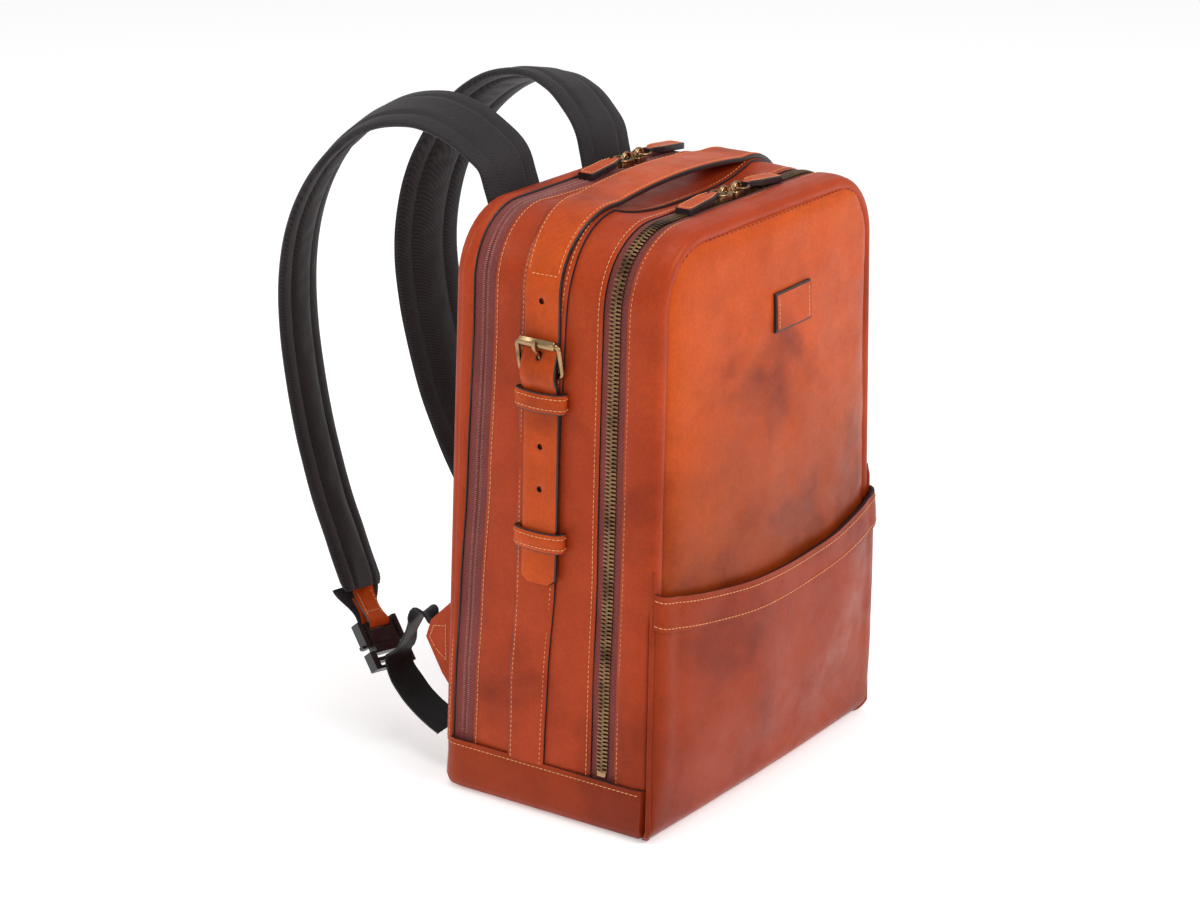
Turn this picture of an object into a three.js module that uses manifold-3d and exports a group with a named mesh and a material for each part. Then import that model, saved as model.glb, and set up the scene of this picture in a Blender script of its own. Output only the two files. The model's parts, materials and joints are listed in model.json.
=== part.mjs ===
// A leather backpack that stands on its base. Millimetres, +Z up, front panel towards -Y.
// Origin: the middle of the base, on the floor. Left is -X, seen from the front.
// Two arched zips part the bag into a front flap, a middle body and a back flap.
// Both flaps fold outwards along the top edge of the base band.
import * as THREE from "three";
import { mergeVertices } from "three/addons/utils/BufferGeometryUtils.js";
import Module from "manifold-3d";

const wasm = await Module();
wasm.setup();

// Driving dimensions of the bag
const HEIGHT = 422;
const BASE_WIDTH = 290;
const TOP_WIDTH = 268;
const BASE_DEPTH = 172;
const TOP_DEPTH = 162;
const CORNER_R = 50; // rounding of the two top corners, seen from the front
const BAND_TOP = 37; // top edge of the base band, where both flaps fold
const PANEL_FOOT = BAND_TOP + 1; // lower edge of what folds out
const INNER_FOOT = 8; // lower edge of what stands inside the base band
const TOP_SAG = 12; // how far the top leather sinks under the handle

// Sheet thicknesses
const LEATHER = 2.4;
const LINING = 1;
const TAPE = 1;
const GAP = 0.3; // kept between pieces that touch
const SEAM = 1.5; // kept between layers that crease together

// Stations across the depth, given at the base and leaned in towards the top
const FRONT = -BASE_DEPTH / 2;
const BACK = BASE_DEPTH / 2;
const FRONT_ZIP_Y = -53;
const REAR_ZIP_Y = 64;
const FRONT_GUSSET_EDGE = -62;
const MIDDLE_FRONT_EDGE = -45;
const MIDDLE_REAR_EDGE = 53;
const BACK_GUSSET_EDGE = 74.5;
const STRAP_Y = 3; // middle of the strap that runs up the sides and over the top
const CENTER_STRAP_WIDTH = 40;
const BILLET_WIDTH = 29;
const HANDLE_WIDTH = 38;
const HANDLE_HALF = 75;
const STRAP_THICK = 3.8;

// Zips
const TAPE_WIDTH = 17;
const CHAIN_HALF = 4.6; // half the width of the row of teeth
const TEETH_HEIGHT = 2.6;
const FRONT_SLIDERS_X = [-10, 6];
const REAR_SLIDERS_X = [33, 49];

const CORNER_STEPS = 9;
const TOP_STEPS = 10;

// Colours as on the object
const cognac = new THREE.MeshStandardMaterial({ color: 0xb8471b, roughness: 0.45, metalness: 0 });
const cognacDark = new THREE.MeshStandardMaterial({ color: 0x9c3a16, roughness: 0.5, metalness: 0 });
const mauveTape = new THREE.MeshStandardMaterial({ color: 0x7d3f38, roughness: 0.85, metalness: 0 });
const antiqueBrass = new THREE.MeshStandardMaterial({ color: 0x8a6b3c, roughness: 0.35, metalness: 1 });
const blackNylon = new THREE.MeshStandardMaterial({ color: 0x262223, roughness: 0.9, metalness: 0 });
const blackMetal = new THREE.MeshStandardMaterial({ color: 0x0c0c0d, roughness: 0.4, metalness: 0.6 });
const liningCloth = new THREE.MeshStandardMaterial({ color: 0x4a3326, roughness: 0.9, metalness: 0 });
const board = new THREE.MeshStandardMaterial({ color: 0x3a2c24, roughness: 0.9, metalness: 0 });

const bag = new THREE.Group();

function add(name, geometry, material, parent = bag) {
  const mesh = new THREE.Mesh(geometry, material);
  mesh.name = name;
  parent.add(mesh);
  return mesh;
}

// --- Joining and cutting ---

function toSolid(geometry) {
  const bare = new THREE.BufferGeometry();
  bare.setAttribute("position", geometry.getAttribute("position").clone());
  if (geometry.index) bare.setIndex(geometry.index.clone());
  const merged = mergeVertices(bare, 1e-3);
  return new wasm.Manifold(
    new wasm.Mesh({
      numProp: 3,
      vertProperties: merged.attributes.position.array,
      triVerts: new Uint32Array(merged.index.array),
    }),
  );
}

function toGeometry(solid) {
  const mesh = solid.getMesh();
  const geometry = new THREE.BufferGeometry();
  geometry.setAttribute("position", new THREE.BufferAttribute(mesh.vertProperties, 3));
  geometry.setIndex(new THREE.BufferAttribute(mesh.triVerts, 1));
  geometry.computeVertexNormals();
  return geometry;
}

function join(...geometries) {
  return toGeometry(geometries.map(toSolid).reduce((a, b) => a.add(b)));
}

function cut(geometry, ...tools) {
  return toGeometry(tools.map(toSolid).reduce((a, b) => a.subtract(b), toSolid(geometry)));
}

// --- The bag's outline ---

// Half the bag's width at a height: the sides lean in up to the corners.
function halfWidth(z) {
  const share = Math.min(z / (HEIGHT - CORNER_R), 1);
  return BASE_WIDTH / 2 - ((BASE_WIDTH - TOP_WIDTH) / 2) * share;
}

// A depth station moved forwards with height: the back leans in towards the top.
function lean(y, z) {
  const narrowing = (1 - TOP_DEPTH / BASE_DEPTH) * (z / HEIGHT);
  return FRONT + (y - FRONT) * (1 - narrowing);
}

// How far the top leather sinks at a point: evenly under the handle, fading out towards the two zips.
const SAG_MIDDLE = (MIDDLE_FRONT_EDGE + MIDDLE_REAR_EDGE) / 2;
const SAG_FLAT = CENTER_STRAP_WIDTH / 2 + 3;
const SAG_REACH = MIDDLE_REAR_EDGE - SAG_MIDDLE;
const SAG_CREASES = [-SAG_REACH, -SAG_FLAT, SAG_FLAT, SAG_REACH].map((offset) => SAG_MIDDLE + offset);

function sag(x, y, z) {
  if (z < HEIGHT - CORNER_R) return 0;
  const along = Math.min(Math.abs(x) / (TOP_WIDTH / 2 - CORNER_R), 1);
  const fade = (Math.abs(y - SAG_MIDDLE) - SAG_FLAT) / (SAG_REACH - SAG_FLAT);
  return TOP_SAG * (1 - along ** 3) * (1 - Math.min(Math.max(fade, 0), 1));
}

// Points of the arch from the left foot over the top to the right foot, moved inwards by inset.
function archPoints(inset, foot) {
  const flatHalf = TOP_WIDTH / 2 - CORNER_R;
  const shoulder = HEIGHT - CORNER_R;
  const radius = CORNER_R - inset;
  const points = [new THREE.Vector2(-halfWidth(foot) + inset, foot)];
  for (let i = 0; i <= CORNER_STEPS; i++) {
    const turn = Math.PI - (i / CORNER_STEPS) * (Math.PI / 2);
    points.push(new THREE.Vector2(-flatHalf + radius * Math.cos(turn), shoulder + radius * Math.sin(turn)));
  }
  for (let i = 1; i < TOP_STEPS; i++)
    points.push(new THREE.Vector2(-flatHalf + (2 * flatHalf * i) / TOP_STEPS, shoulder + radius));
  const left = points.slice(0, CORNER_STEPS + 2);
  return points.concat(left.reverse().map((p) => new THREE.Vector2(-p.x, p.y)));
}

// --- Sheets and plates ---

// A closed sheet: a box split along and across, with each vertex where place(i, j, face) puts it.
// face is 1 on the outer side and -1 on the inner side.
function sheet(along, across, place) {
  const geometry = new THREE.BoxGeometry(along, 2, across, along, 1, across);
  const position = geometry.attributes.position;
  for (let k = 0; k < position.count; k++) {
    const i = Math.round(position.getX(k) + along / 2);
    const j = Math.round(across / 2 - position.getZ(k));
    const point = place(i, j, Math.sign(position.getY(k)));
    position.setXYZ(k, point.x, point.y, point.z);
  }
  geometry.computeVertexNormals();
  return geometry;
}

// A strip of the arch between two depth stations, split where the sag creases it.
function archStrip({ inset = 0, thick = LEATHER, from, to, foot = PANEL_FOOT }) {
  const outer = archPoints(inset, foot);
  const inner = archPoints(inset + thick, foot);
  const stations = [from, ...SAG_CREASES.filter((y) => y > from && y < to), to];
  return sheet(outer.length - 1, stations.length - 1, (i, j, face) => {
    const p = face > 0 ? outer[i] : inner[i];
    const y = stations[j];
    return new THREE.Vector3(p.x, lean(y, p.y), p.y - sag(p.x, y, p.y));
  });
}

// A flat panel of the arch's outline, standing across the bag between two depth stations.
function archPanel({ inset = 0, from, to, foot = PANEL_FOOT }) {
  const sunk = (p) => Math.max(sag(p.x, from, p.y), sag(p.x, to, p.y));
  const outline = archPoints(inset, foot).map((p) => new THREE.Vector2(p.x, p.y - sunk(p)));
  return leaned(standing(new THREE.Shape(outline), from, to));
}

// A shape drawn in X and Z, extruded along Y.
function standing(shape, from, to) {
  const geometry = new THREE.ExtrudeGeometry(shape, { depth: to - from, bevelEnabled: false });
  return geometry.rotateX(Math.PI / 2).translate(0, to, 0);
}

function leaned(geometry) {
  const position = geometry.attributes.position;
  for (let k = 0; k < position.count; k++) position.setY(k, lean(position.getY(k), position.getZ(k)));
  return geometry;
}

function box(x, y, z) {
  const geometry = new THREE.BoxGeometry(x[1] - x[0], y[1] - y[0], z[1] - z[0]);
  return geometry.translate((x[0] + x[1]) / 2, (y[0] + y[1]) / 2, (z[0] + z[1]) / 2);
}

// A strap laid along a centreline in the XZ plane. edges(i) gives its two edges in Y.
function strap(centreline, thick, edges) {
  const last = centreline.length - 1;
  return sheet(last, 1, (i, j, face) => {
    const before = centreline[Math.max(i - 1, 0)];
    const after = centreline[Math.min(i + 1, last)];
    const tangent = after.clone().sub(before).normalize();
    const outward = new THREE.Vector2(-tangent.y, tangent.x);
    const p = centreline[i].clone().addScaledVector(outward, (face * thick) / 2);
    return new THREE.Vector3(p.x, edges(i)[j], p.y);
  });
}

function smooth(points, steps) {
  return new THREE.SplineCurve(points.map(([x, y]) => new THREE.Vector2(x, y))).getSpacedPoints(steps);
}

function mirrored(geometry) {
  const flipped = geometry.index ? geometry.toNonIndexed() : geometry.clone();
  const position = flipped.attributes.position;
  for (let k = 0; k < position.count; k += 3)
    for (const axis of ["X", "Y", "Z"]) {
      const first = position["get" + axis](k + 1);
      position["set" + axis](k + 1, position["get" + axis](k + 2));
      position["set" + axis](k + 2, first);
    }
  for (let k = 0; k < position.count; k++) position.setX(k, -position.getX(k));
  return flipped;
}

// Adds left_NAME as given and right_NAME as its mirror image.
function addPair(name, geometry, material) {
  add("left_" + name, geometry, material);
  add("right_" + name, mirrored(geometry), material);
}

// --- Base ---

const BAND_PROUD = 2.2; // the band stands outside the gussets
const BACK_PANEL = [BACK - 2.5, BACK + 1.5];
const FOOT_FRONT = FRONT - 4; // face of the folded pocket leather at the foot of the front

const BASE_BOARD = { clear: 4, thick: 3 };

function makeBase() {
  const half = BASE_WIDTH / 2 + GAP;
  const profile = new THREE.Shape([
    new THREE.Vector2(-half - BAND_PROUD, 0),
    new THREE.Vector2(half + BAND_PROUD, 0),
    new THREE.Vector2(half + BAND_PROUD, BAND_TOP),
    new THREE.Vector2(half, BAND_TOP),
    new THREE.Vector2(half, LEATHER),
    new THREE.Vector2(-half, LEATHER),
    new THREE.Vector2(-half, BAND_TOP),
    new THREE.Vector2(-half - BAND_PROUD, BAND_TOP),
  ]);
  const rear = BACK_PANEL[1] + 0.5;
  const trough = standing(profile, FRONT + LEATHER + GAP, rear);
  const wall = box([-half - 0.1, half + 0.1], [rear - LEATHER, rear], [LEATHER / 2, BAND_TOP]);
  add("base_band", join(trough, wall), cognac);
  const { clear, thick } = BASE_BOARD;
  const floor = LEATHER + GAP;
  const plan = [[clear - half, half - clear], [FRONT + clear, rear - clear]];
  add("base_board", box(...plan, [floor, floor + thick]), board);
  add("front_foot", box([-half + 1, half - 1], [FOOT_FRONT, FRONT + LEATHER], [0, BAND_TOP]), cognac);
}

// --- Middle body ---

function makeMiddle() {
  add(
    "middle_gusset",
    archStrip({ from: MIDDLE_FRONT_EDGE, to: MIDDLE_REAR_EDGE, foot: INNER_FOOT }),
    cognac,
  );
  add(
    "center_strap",
    archStrip({
      inset: -GAP - LEATHER,
      from: STRAP_Y - CENTER_STRAP_WIDTH / 2,
      to: STRAP_Y + CENTER_STRAP_WIDTH / 2,
    }),
    cognac,
  );
  const dividerY = FRONT_ZIP_Y + TAPE_WIDTH + 3;
  add(
    "divider_panel",
    archPanel({ inset: LEATHER + SEAM, from: dividerY, to: dividerY + 1.5, foot: INNER_FOOT }),
    liningCloth,
  );
}

// --- Front flap ---

const POCKET_SIDE_Z = 182; // top edge of the pocket at its sides
const POCKET_DIP = 17; // the top edge is this much lower in the middle
const POCKET_BULGE = 8;
const POCKET_BAND = 24;
const POCKET_COLUMNS = 18;
const POCKET_ROWS = 6;
const PATCH = { left: -10, right: 35, foot: 336, top: 361, thick: 1.8 };

function pocketTop(x) {
  const share = x / halfWidth(POCKET_SIDE_Z);
  return POCKET_SIDE_Z - POCKET_DIP * (1 - share * share);
}

// How far the pocket leather stands off the front panel.
function pocketStand(x, z) {
  const across = 1 - (x / halfWidth(z)) ** 4;
  const up = Math.min(Math.max((z - PANEL_FOOT) / (POCKET_SIDE_Z - PANEL_FOOT), 0), 1);
  return 1 + POCKET_BULGE * Math.max(across, 0) * Math.sqrt(up);
}

// A sheet that follows the pocket between two heights, lift away from it.
function pocketSheet(low, high, lift, thick, along, across) {
  return sheet(along, across, (i, j, face) => {
    const share = 1 - (2 * i) / along;
    const reach = halfWidth(POCKET_SIDE_Z / 2) - 2;
    const x = share * reach;
    const z = high(x) + ((low(x) - high(x)) * j) / across;
    const y = FRONT - pocketStand(x, z) - lift - (face > 0 ? thick : 0);
    return new THREE.Vector3(x, y, z);
  });
}

function makeFrontFlap() {
  add("front_panel", archPanel({ from: FRONT, to: FRONT + LEATHER }), cognac);
  const liningFront = FRONT + LEATHER + GAP;
  add(
    "front_gusset",
    archStrip({ from: liningFront, to: FRONT_GUSSET_EDGE }),
    cognac,
  );
  add(
    "front_lining",
    archPanel({ inset: LEATHER + SEAM + TAPE + GAP, from: liningFront, to: liningFront + LINING }),
    liningCloth,
  );
  const foot = () => PANEL_FOOT;
  add("front_pocket", pocketSheet(foot, pocketTop, 0, 2, POCKET_COLUMNS, POCKET_ROWS), cognac);
  const bandFoot = (x) => pocketTop(x) - POCKET_BAND;
  const bandTop = (x) => pocketTop(x) + 1;
  add("pocket_band", pocketSheet(bandFoot, bandTop, 2 + GAP, 1.6, POCKET_COLUMNS, 1), cognac);
  const { left, right, foot: patchFoot, top, thick } = PATCH;
  const onPanel = FRONT - GAP;
  add("name_patch", box([left, right], [onPanel - thick, onPanel], [patchFoot, top]), cognac);
}

// --- Back flap ---

const YOKE = { halfWidth: 96, foot: 330, top: 392 };
const SLEEVE = { halfWidth: 118, top: 290, foot: PANEL_FOOT + 5, front: 58, wall: 3 };

function makeBackFlap() {
  const liningBack = BACK_PANEL[0] - GAP;
  add("back_panel", archPanel({ from: BACK_PANEL[0], to: BACK_PANEL[1] }), cognac);
  add("back_gusset", archStrip({ from: BACK_GUSSET_EDGE, to: liningBack }), cognac);
  add(
    "back_lining",
    archPanel({ inset: LEATHER + SEAM + TAPE + GAP, from: liningBack - LINING, to: liningBack }),
    liningCloth,
  );
  const { halfWidth: half, top, foot, front, wall } = SLEEVE;
  const rear = liningBack - LINING - GAP;
  const block = box([-half, half], [front, rear], [foot, top]);
  const room = box([-half + wall, half - wall], [front + wall, rear - wall / 2], [foot + wall, top + 1]);
  add("laptop_sleeve", leaned(cut(block, room)), liningCloth);
  const onBack = BACK_PANEL[1] + GAP;
  const yoke = box([-YOKE.halfWidth, YOKE.halfWidth], [onBack, onBack + LEATHER], [YOKE.foot, YOKE.top]);
  add("strap_yoke", leaned(yoke), cognac);
}

// --- Zips ---

function makeZip(name, y, withTeeth) {
  const inset = LEATHER + SEAM;
  const halves = [
    ["front", -1],
    ["rear", 1],
  ];
  for (const [half, side] of halves) {
    const near = y + side * GAP;
    const far = y + side * (GAP + TAPE_WIDTH);
    add(
      `${name}_tape_${half}`,
      archStrip({ inset, thick: TAPE, from: Math.min(near, far), to: Math.max(near, far) }),
      mauveTape,
    );
    if (!withTeeth) continue;
    const edge = y + side * CHAIN_HALF;
    add(
      `${name}_teeth_${half}`,
      archStrip({
        inset: inset - GAP - TEETH_HEIGHT,
        thick: TEETH_HEIGHT,
        from: Math.min(near, edge),
        to: Math.max(near, edge),
      }),
      antiqueBrass,
    );
  }
}

// A slider's body with the bail that carries its pull, standing on the zip at the top of the bag.
const SLIDER = { length: 14, width: 11, height: 3, bailRadius: 4.2, bailWire: 2 };
const PULL = { ringRadius: 5.6, ringWire: 2, length: 44, width: 16, neck: 8, taper: 12, thick: 4 };
const SLIDER_STAND = 0.7; // above the bag's height, where the teeth and the gussets end

function sliderGeometry() {
  const { length, width, height, bailRadius, bailWire } = SLIDER;
  const plan = new THREE.Shape();
  plan.moveTo(-length / 2, -width / 2);
  plan.quadraticCurveTo(0, -width / 3, length / 2, -width / 2 + 1.5);
  plan.lineTo(length / 2, width / 2 - 1.5);
  plan.quadraticCurveTo(0, width / 3, -length / 2, width / 2);
  plan.closePath();
  const body = new THREE.ExtrudeGeometry(plan, { depth: height, bevelEnabled: false, curveSegments: 6 });
  const arch = new THREE.Shape();
  arch.absarc(0, 0, bailRadius + bailWire, 0, Math.PI, false);
  arch.absarc(0, 0, bailRadius, Math.PI, 0, true);
  const bail = new THREE.ExtrudeGeometry(arch, { depth: bailWire, bevelEnabled: false, curveSegments: 10 });
  bail.rotateX(Math.PI / 2).translate(0, bailWire / 2, height - 0.5);
  return join(body, bail);
}

// A pull at rest: a ring through the bail and a leather tab lying outwards from it along +X.
function pullGeometry() {
  const { ringRadius, ringWire, length, width, neck, taper, thick } = PULL;
  const ringPlan = new THREE.Shape();
  ringPlan.absarc(0, 0, ringRadius + ringWire, 0, 2 * Math.PI, false);
  const hole = new THREE.Path();
  hole.absarc(0, 0, ringRadius, 0, 2 * Math.PI, true);
  ringPlan.holes.push(hole);
  const extrusion = { depth: ringWire, bevelEnabled: false, curveSegments: 10 };
  const ring = new THREE.ExtrudeGeometry(ringPlan, extrusion);
  ring.translate(ringRadius, 0, 0);
  const start = 2 * ringRadius;
  const plan = new THREE.Shape([
    new THREE.Vector2(start, -neck / 2),
    new THREE.Vector2(start + taper, -width / 2),
    new THREE.Vector2(start + length, -width / 2),
    new THREE.Vector2(start + length, width / 2),
    new THREE.Vector2(start + taper, width / 2),
    new THREE.Vector2(start, neck / 2),
  ]);
  const tab = new THREE.ExtrudeGeometry(plan, { depth: thick, bevelEnabled: false });
  tab.translate(0, 0, ringWire / 2 - thick / 2 + 1);
  return join(ring, tab);
}

function makeSliders(name, y, places) {
  places.forEach((x, index) => {
    const side = index ? "right" : "left";
    const station = new THREE.Group();
    station.position.set(x, lean(y, HEIGHT), HEIGHT + SLIDER_STAND);
    station.rotation.z = index ? 0 : Math.PI;
    bag.add(station);
    add(`${name}_slider_${side}`, sliderGeometry(), antiqueBrass, station);
    const pull = new THREE.Group();
    pull.position.set(-0.9, 0, SLIDER.height + GAP);
    station.add(pull);
    add(`${name}_pull_${side}`, pullGeometry(), cognacDark, pull);
  });
}

// --- Handle and side straps ---

const STRAP_STAND = GAP + LEATHER + GAP + STRAP_THICK / 2; // strap centreline outside the gusset
const BUCKLE = {
  heelZ: 321,
  heelOut: 5.7,
  rollerZ: 343,
  rollerOut: 10.6,
  wire: 3.6,
  halfWidth: 19,
  innerHalf: 15.4,
  rollerRadius: 3,
};
const TAIL_END_Z = 173;
const HOLE_R = 2.2;
const HOLES_Z = [371, 303, 270, 240];
const PRONG_SLOT = { z: 325, radius: 2.4, length: 22 };

// A point beside the left wall: out is the distance outside the gusset's face.
function leftWall(out, z) {
  return new THREE.Vector2(-halfWidth(z) - out, z);
}

function makeHandle() {
  const rise = 5;
  const steps = 12;
  const centreline = [];
  for (let i = 0; i <= steps; i++) {
    const x = -HANDLE_HALF + (2 * HANDLE_HALF * i) / steps;
    const z = HEIGHT + STRAP_STAND + rise * (1 - (x / HANDLE_HALF) ** 2);
    centreline.push(new THREE.Vector2(x, z));
  }
  const edges = () => [STRAP_Y - HANDLE_WIDTH / 2, STRAP_Y + HANDLE_WIDTH / 2];
  add("handle", strap(centreline, STRAP_THICK, edges), cognac);
}

// The billet leaves the handle, turns the corner, passes under the buckle's roller and over its
// heel bar, and runs down through the keepers.
function makeBillets() {
  const over = archPoints(-STRAP_STAND, TAIL_END_Z).slice(1, CORNER_STEPS + 2);
  const corner = over.reverse();
  const flat = new THREE.Vector2(-HANDLE_HALF - 0.5, HEIGHT + STRAP_STAND);
  const low = STRAP_STAND;
  const way = [
    [low, 360],
    [low, 347],
    [low + 1.4, 336],
    [low + 4.6, 327],
    [low + 5.4, 321],
    [low + 4, 314.5],
    [low + 0.3, 311],
    [low, 300],
    [low, 240],
    [low + 0.5, 200],
    [low + 1.2, TAIL_END_Z],
  ].map(([out, z]) => leftWall(out, z));
  const centreline = [flat, ...corner, ...way];
  const last = centreline.length - 1;
  const edges = (i) => {
    const share = Math.min(i / CORNER_STEPS, 1);
    const half = (HANDLE_WIDTH * (1 - share) + BILLET_WIDTH * share) / 2;
    return [STRAP_Y - half, STRAP_Y + half];
  };
  const run = strap(centreline.reverse(), STRAP_THICK, (i) => edges(last - i));
  const punch = (z, radius, length) => {
    const tool = new THREE.CylinderGeometry(radius, radius, 20, 12).rotateZ(Math.PI / 2);
    tool.scale(1, 1, length / (2 * radius));
    return tool.translate(-halfWidth(z) - STRAP_STAND, STRAP_Y, z);
  };
  const holes = HOLES_Z.map((z) => punch(z, HOLE_R, 2 * HOLE_R));
  const slot = punch(PRONG_SLOT.z, PRONG_SLOT.radius, PRONG_SLOT.length);
  addPair("billet", cut(run, ...holes, slot), cognac);
}

const KEEPER = { height: 14, halfLoop: 20, thick: 1.9, middles: { upper: 303, lower: 205 } };

function makeKeepers() {
  const { height, halfLoop, thick, middles } = KEEPER;
  for (const [name, z] of Object.entries(middles)) {
    const foot = -halfWidth(z) - GAP - LEATHER - 0.9;
    const way = smooth(
      [
        [foot, -halfLoop + 2],
        [foot - 3.5, -halfLoop],
        [foot - 6.2, -halfLoop + 6],
        [foot - 6.8, 0],
        [foot - 6.2, halfLoop - 6],
        [foot - 3.5, halfLoop],
        [foot, halfLoop - 2],
      ],
      24,
    );
    const side = (sign) =>
      way.map((p, i) => {
        const tangent = way[Math.min(i + 1, way.length - 1)].clone().sub(way[Math.max(i - 1, 0)]).normalize();
        return p.clone().addScaledVector(new THREE.Vector2(-tangent.y, tangent.x), (sign * thick) / 2);
      });
    const plan = new THREE.Shape([...side(1), ...side(-1).reverse()]);
    const loop = new THREE.ExtrudeGeometry(plan, { depth: height, bevelEnabled: false });
    addPair(`${name}_keeper`, loop.translate(0, STRAP_Y, z - height / 2), cognac);
  }
}

function makeBuckles() {
  const { heelZ, heelOut, rollerZ, rollerOut, wire, halfWidth: half, innerHalf, rollerRadius } = BUCKLE;
  const heel = leftWall(heelOut, heelZ);
  const roller = leftWall(rollerOut, rollerZ);
  const tall = heel.distanceTo(roller);
  const tilt = Math.atan2(heel.x - roller.x, roller.y - heel.y);
  const ring = new THREE.Shape();
  const reach = wire / 2;
  ring.moveTo(-half, -reach);
  ring.lineTo(half, -reach);
  ring.lineTo(half, tall);
  ring.absarc(half - reach, tall, reach, 0, Math.PI / 2, false);
  ring.absarc(-half + reach, tall, reach, Math.PI / 2, Math.PI, false);
  ring.closePath();
  ring.holes.push(
    new THREE.Path([
      new THREE.Vector2(-innerHalf, reach),
      new THREE.Vector2(-innerHalf, tall - reach),
      new THREE.Vector2(innerHalf, tall - reach),
      new THREE.Vector2(innerHalf, reach),
    ]),
  );
  const frame = new THREE.ExtrudeGeometry(ring, { depth: wire, bevelEnabled: false, curveSegments: 5 });
  const sleeve = new THREE.CylinderGeometry(rollerRadius, rollerRadius, 2 * innerHalf - 1, 14);
  sleeve.rotateZ(Math.PI / 2).translate(0, tall, wire / 2);
  // Drawn flat in X and Y, then stood up: X becomes Y, Y becomes Z and the thickness becomes X.
  const stand = new THREE.Matrix4().set(0, 0, 1, -wire / 2, 1, 0, 0, 0, 0, 1, 0, 0, 0, 0, 0, 1);
  const place = (geometry) =>
    geometry.applyMatrix4(stand).rotateY(-tilt).translate(heel.x, STRAP_Y, heel.y);
  addPair("buckle_frame", place(join(frame, sleeve)), antiqueBrass);

  // The prong hooks round the outer side of the heel bar and ends on the roller.
  const rest = rollerRadius + GAP + 1.1;
  const way = smooth(
    [
      [heel.x - 3.5, heel.y - 1.6],
      [heel.x - 3.7, heel.y],
      [heel.x - 4.2, heel.y + 5],
      [roller.x - 1.5, roller.y - 7.5],
      [roller.x - rest, roller.y - 1],
      [roller.x - rest + 0.6, roller.y + 4],
    ],
    20,
  );
  const prong = strap(way.reverse(), 2.2, () => [STRAP_Y - 1.3, STRAP_Y + 1.3]);
  addPair("buckle_prong", prong, antiqueBrass);
}

// --- Shoulder straps ---

const PAD = { width: 60, thick: 9 };
const PAD_ROOT_WAY = [
  [-55.2, 83.6, 393],
  [-55.9, 86, 408],
  [-57, 90.2, 423],
];
const PAD_WAY = [
  [-57.3, 91.4, 427],
  [-58.2, 95.5, 439.5],
  [-61.5, 107, 451],
  [-66, 126, 463],
  [-70, 152, 469],
  [-73, 188, 461],
  [-75, 224, 435],
  [-76, 252, 396],
  [-76, 266, 356],
  [-76, 270, 319],
  [-77, 267, 281],
  [-79, 260, 244],
  [-81, 250, 208],
  [-84, 236, 172],
  [-87, 220, 140],
  [-91, 203, 108],
];

function vectors(points) {
  return points.map(([x, y, z]) => new THREE.Vector3(x, y, z));
}

// A flat band swept along a curve, with its width kept as near to X as the curve allows.
function sweptBand(points, width, thick, steps, edge = thick / 2.2) {
  const curve = new THREE.CatmullRomCurve3(vectors(points));
  const half = width / 2;
  const section = [
    [-half, -thick / 2 + edge],
    [-half + edge, -thick / 2],
    [half - edge, -thick / 2],
    [half, -thick / 2 + edge],
    [half, thick / 2 - edge],
    [half - edge, thick / 2],
    [-half + edge, thick / 2],
    [-half, thick / 2 - edge],
  ];
  const corners = section.length;
  const positions = [];
  const index = [];
  for (let i = 0; i <= steps; i++) {
    const middle = curve.getPointAt(i / steps);
    const way = curve.getTangentAt(i / steps);
    const across = new THREE.Vector3(1, 0, 0).addScaledVector(way, -way.x).normalize();
    const up = new THREE.Vector3().crossVectors(way, across);
    for (const [a, b] of section) {
      const point = middle.clone().addScaledVector(across, a).addScaledVector(up, b);
      positions.push(point.x, point.y, point.z);
    }
    for (let j = 0; j < corners && i < steps; j++) {
      const here = i * corners + j;
      const next = i * corners + ((j + 1) % corners);
      index.push(here, next, here + corners, next, next + corners, here + corners);
    }
  }
  const last = steps * corners;
  for (let j = 1; j < corners - 1; j++) {
    index.push(0, j + 1, j, last, last + j, last + j + 1);
  }
  const geometry = new THREE.BufferGeometry();
  geometry.setAttribute("position", new THREE.Float32BufferAttribute(positions, 3));
  geometry.setIndex(index);
  geometry.computeVertexNormals();
  return geometry;
}

// The quick-release buckle is drawn flat: +X across the strap, -Y towards the webbing.
const SOCKET = { width: 26, length: 17, thick: 8 };
const LEVER = { width: 4, length: 20, thick: 8, travel: 1.5, stem: 5 };
const TAB = { width: 22, length: 24, thick: 3.4 };
const ADJUSTER = { neckWidth: 24, neck: 5, width: 38, length: 19, thick: 8, slit: 3.6 };
const BUCKLE_AT = [-96, 185, 78.5]; // the middle of the socket
const BUCKLE_AIM = [-8, -31, -38]; // the way from the pad to the webbing
const BUCKLE_ACROSS = [1, 0, 0.12];

// Turns a geometry drawn flat into its place on the left strap.
function onStrap(geometry) {
  const down = new THREE.Vector3(...BUCKLE_AIM).normalize();
  const across = new THREE.Vector3(...BUCKLE_ACROSS);
  across.addScaledVector(down, -across.dot(down)).normalize();
  const up = down.clone().negate();
  const face = new THREE.Vector3().crossVectors(across, up);
  const matrix = new THREE.Matrix4().makeBasis(across, up, face).setPosition(...BUCKLE_AT);
  return geometry.applyMatrix4(matrix);
}

function slab(width, length, thick, x, y) {
  return new THREE.BoxGeometry(width, length, thick).translate(x, y, 0);
}

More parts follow.
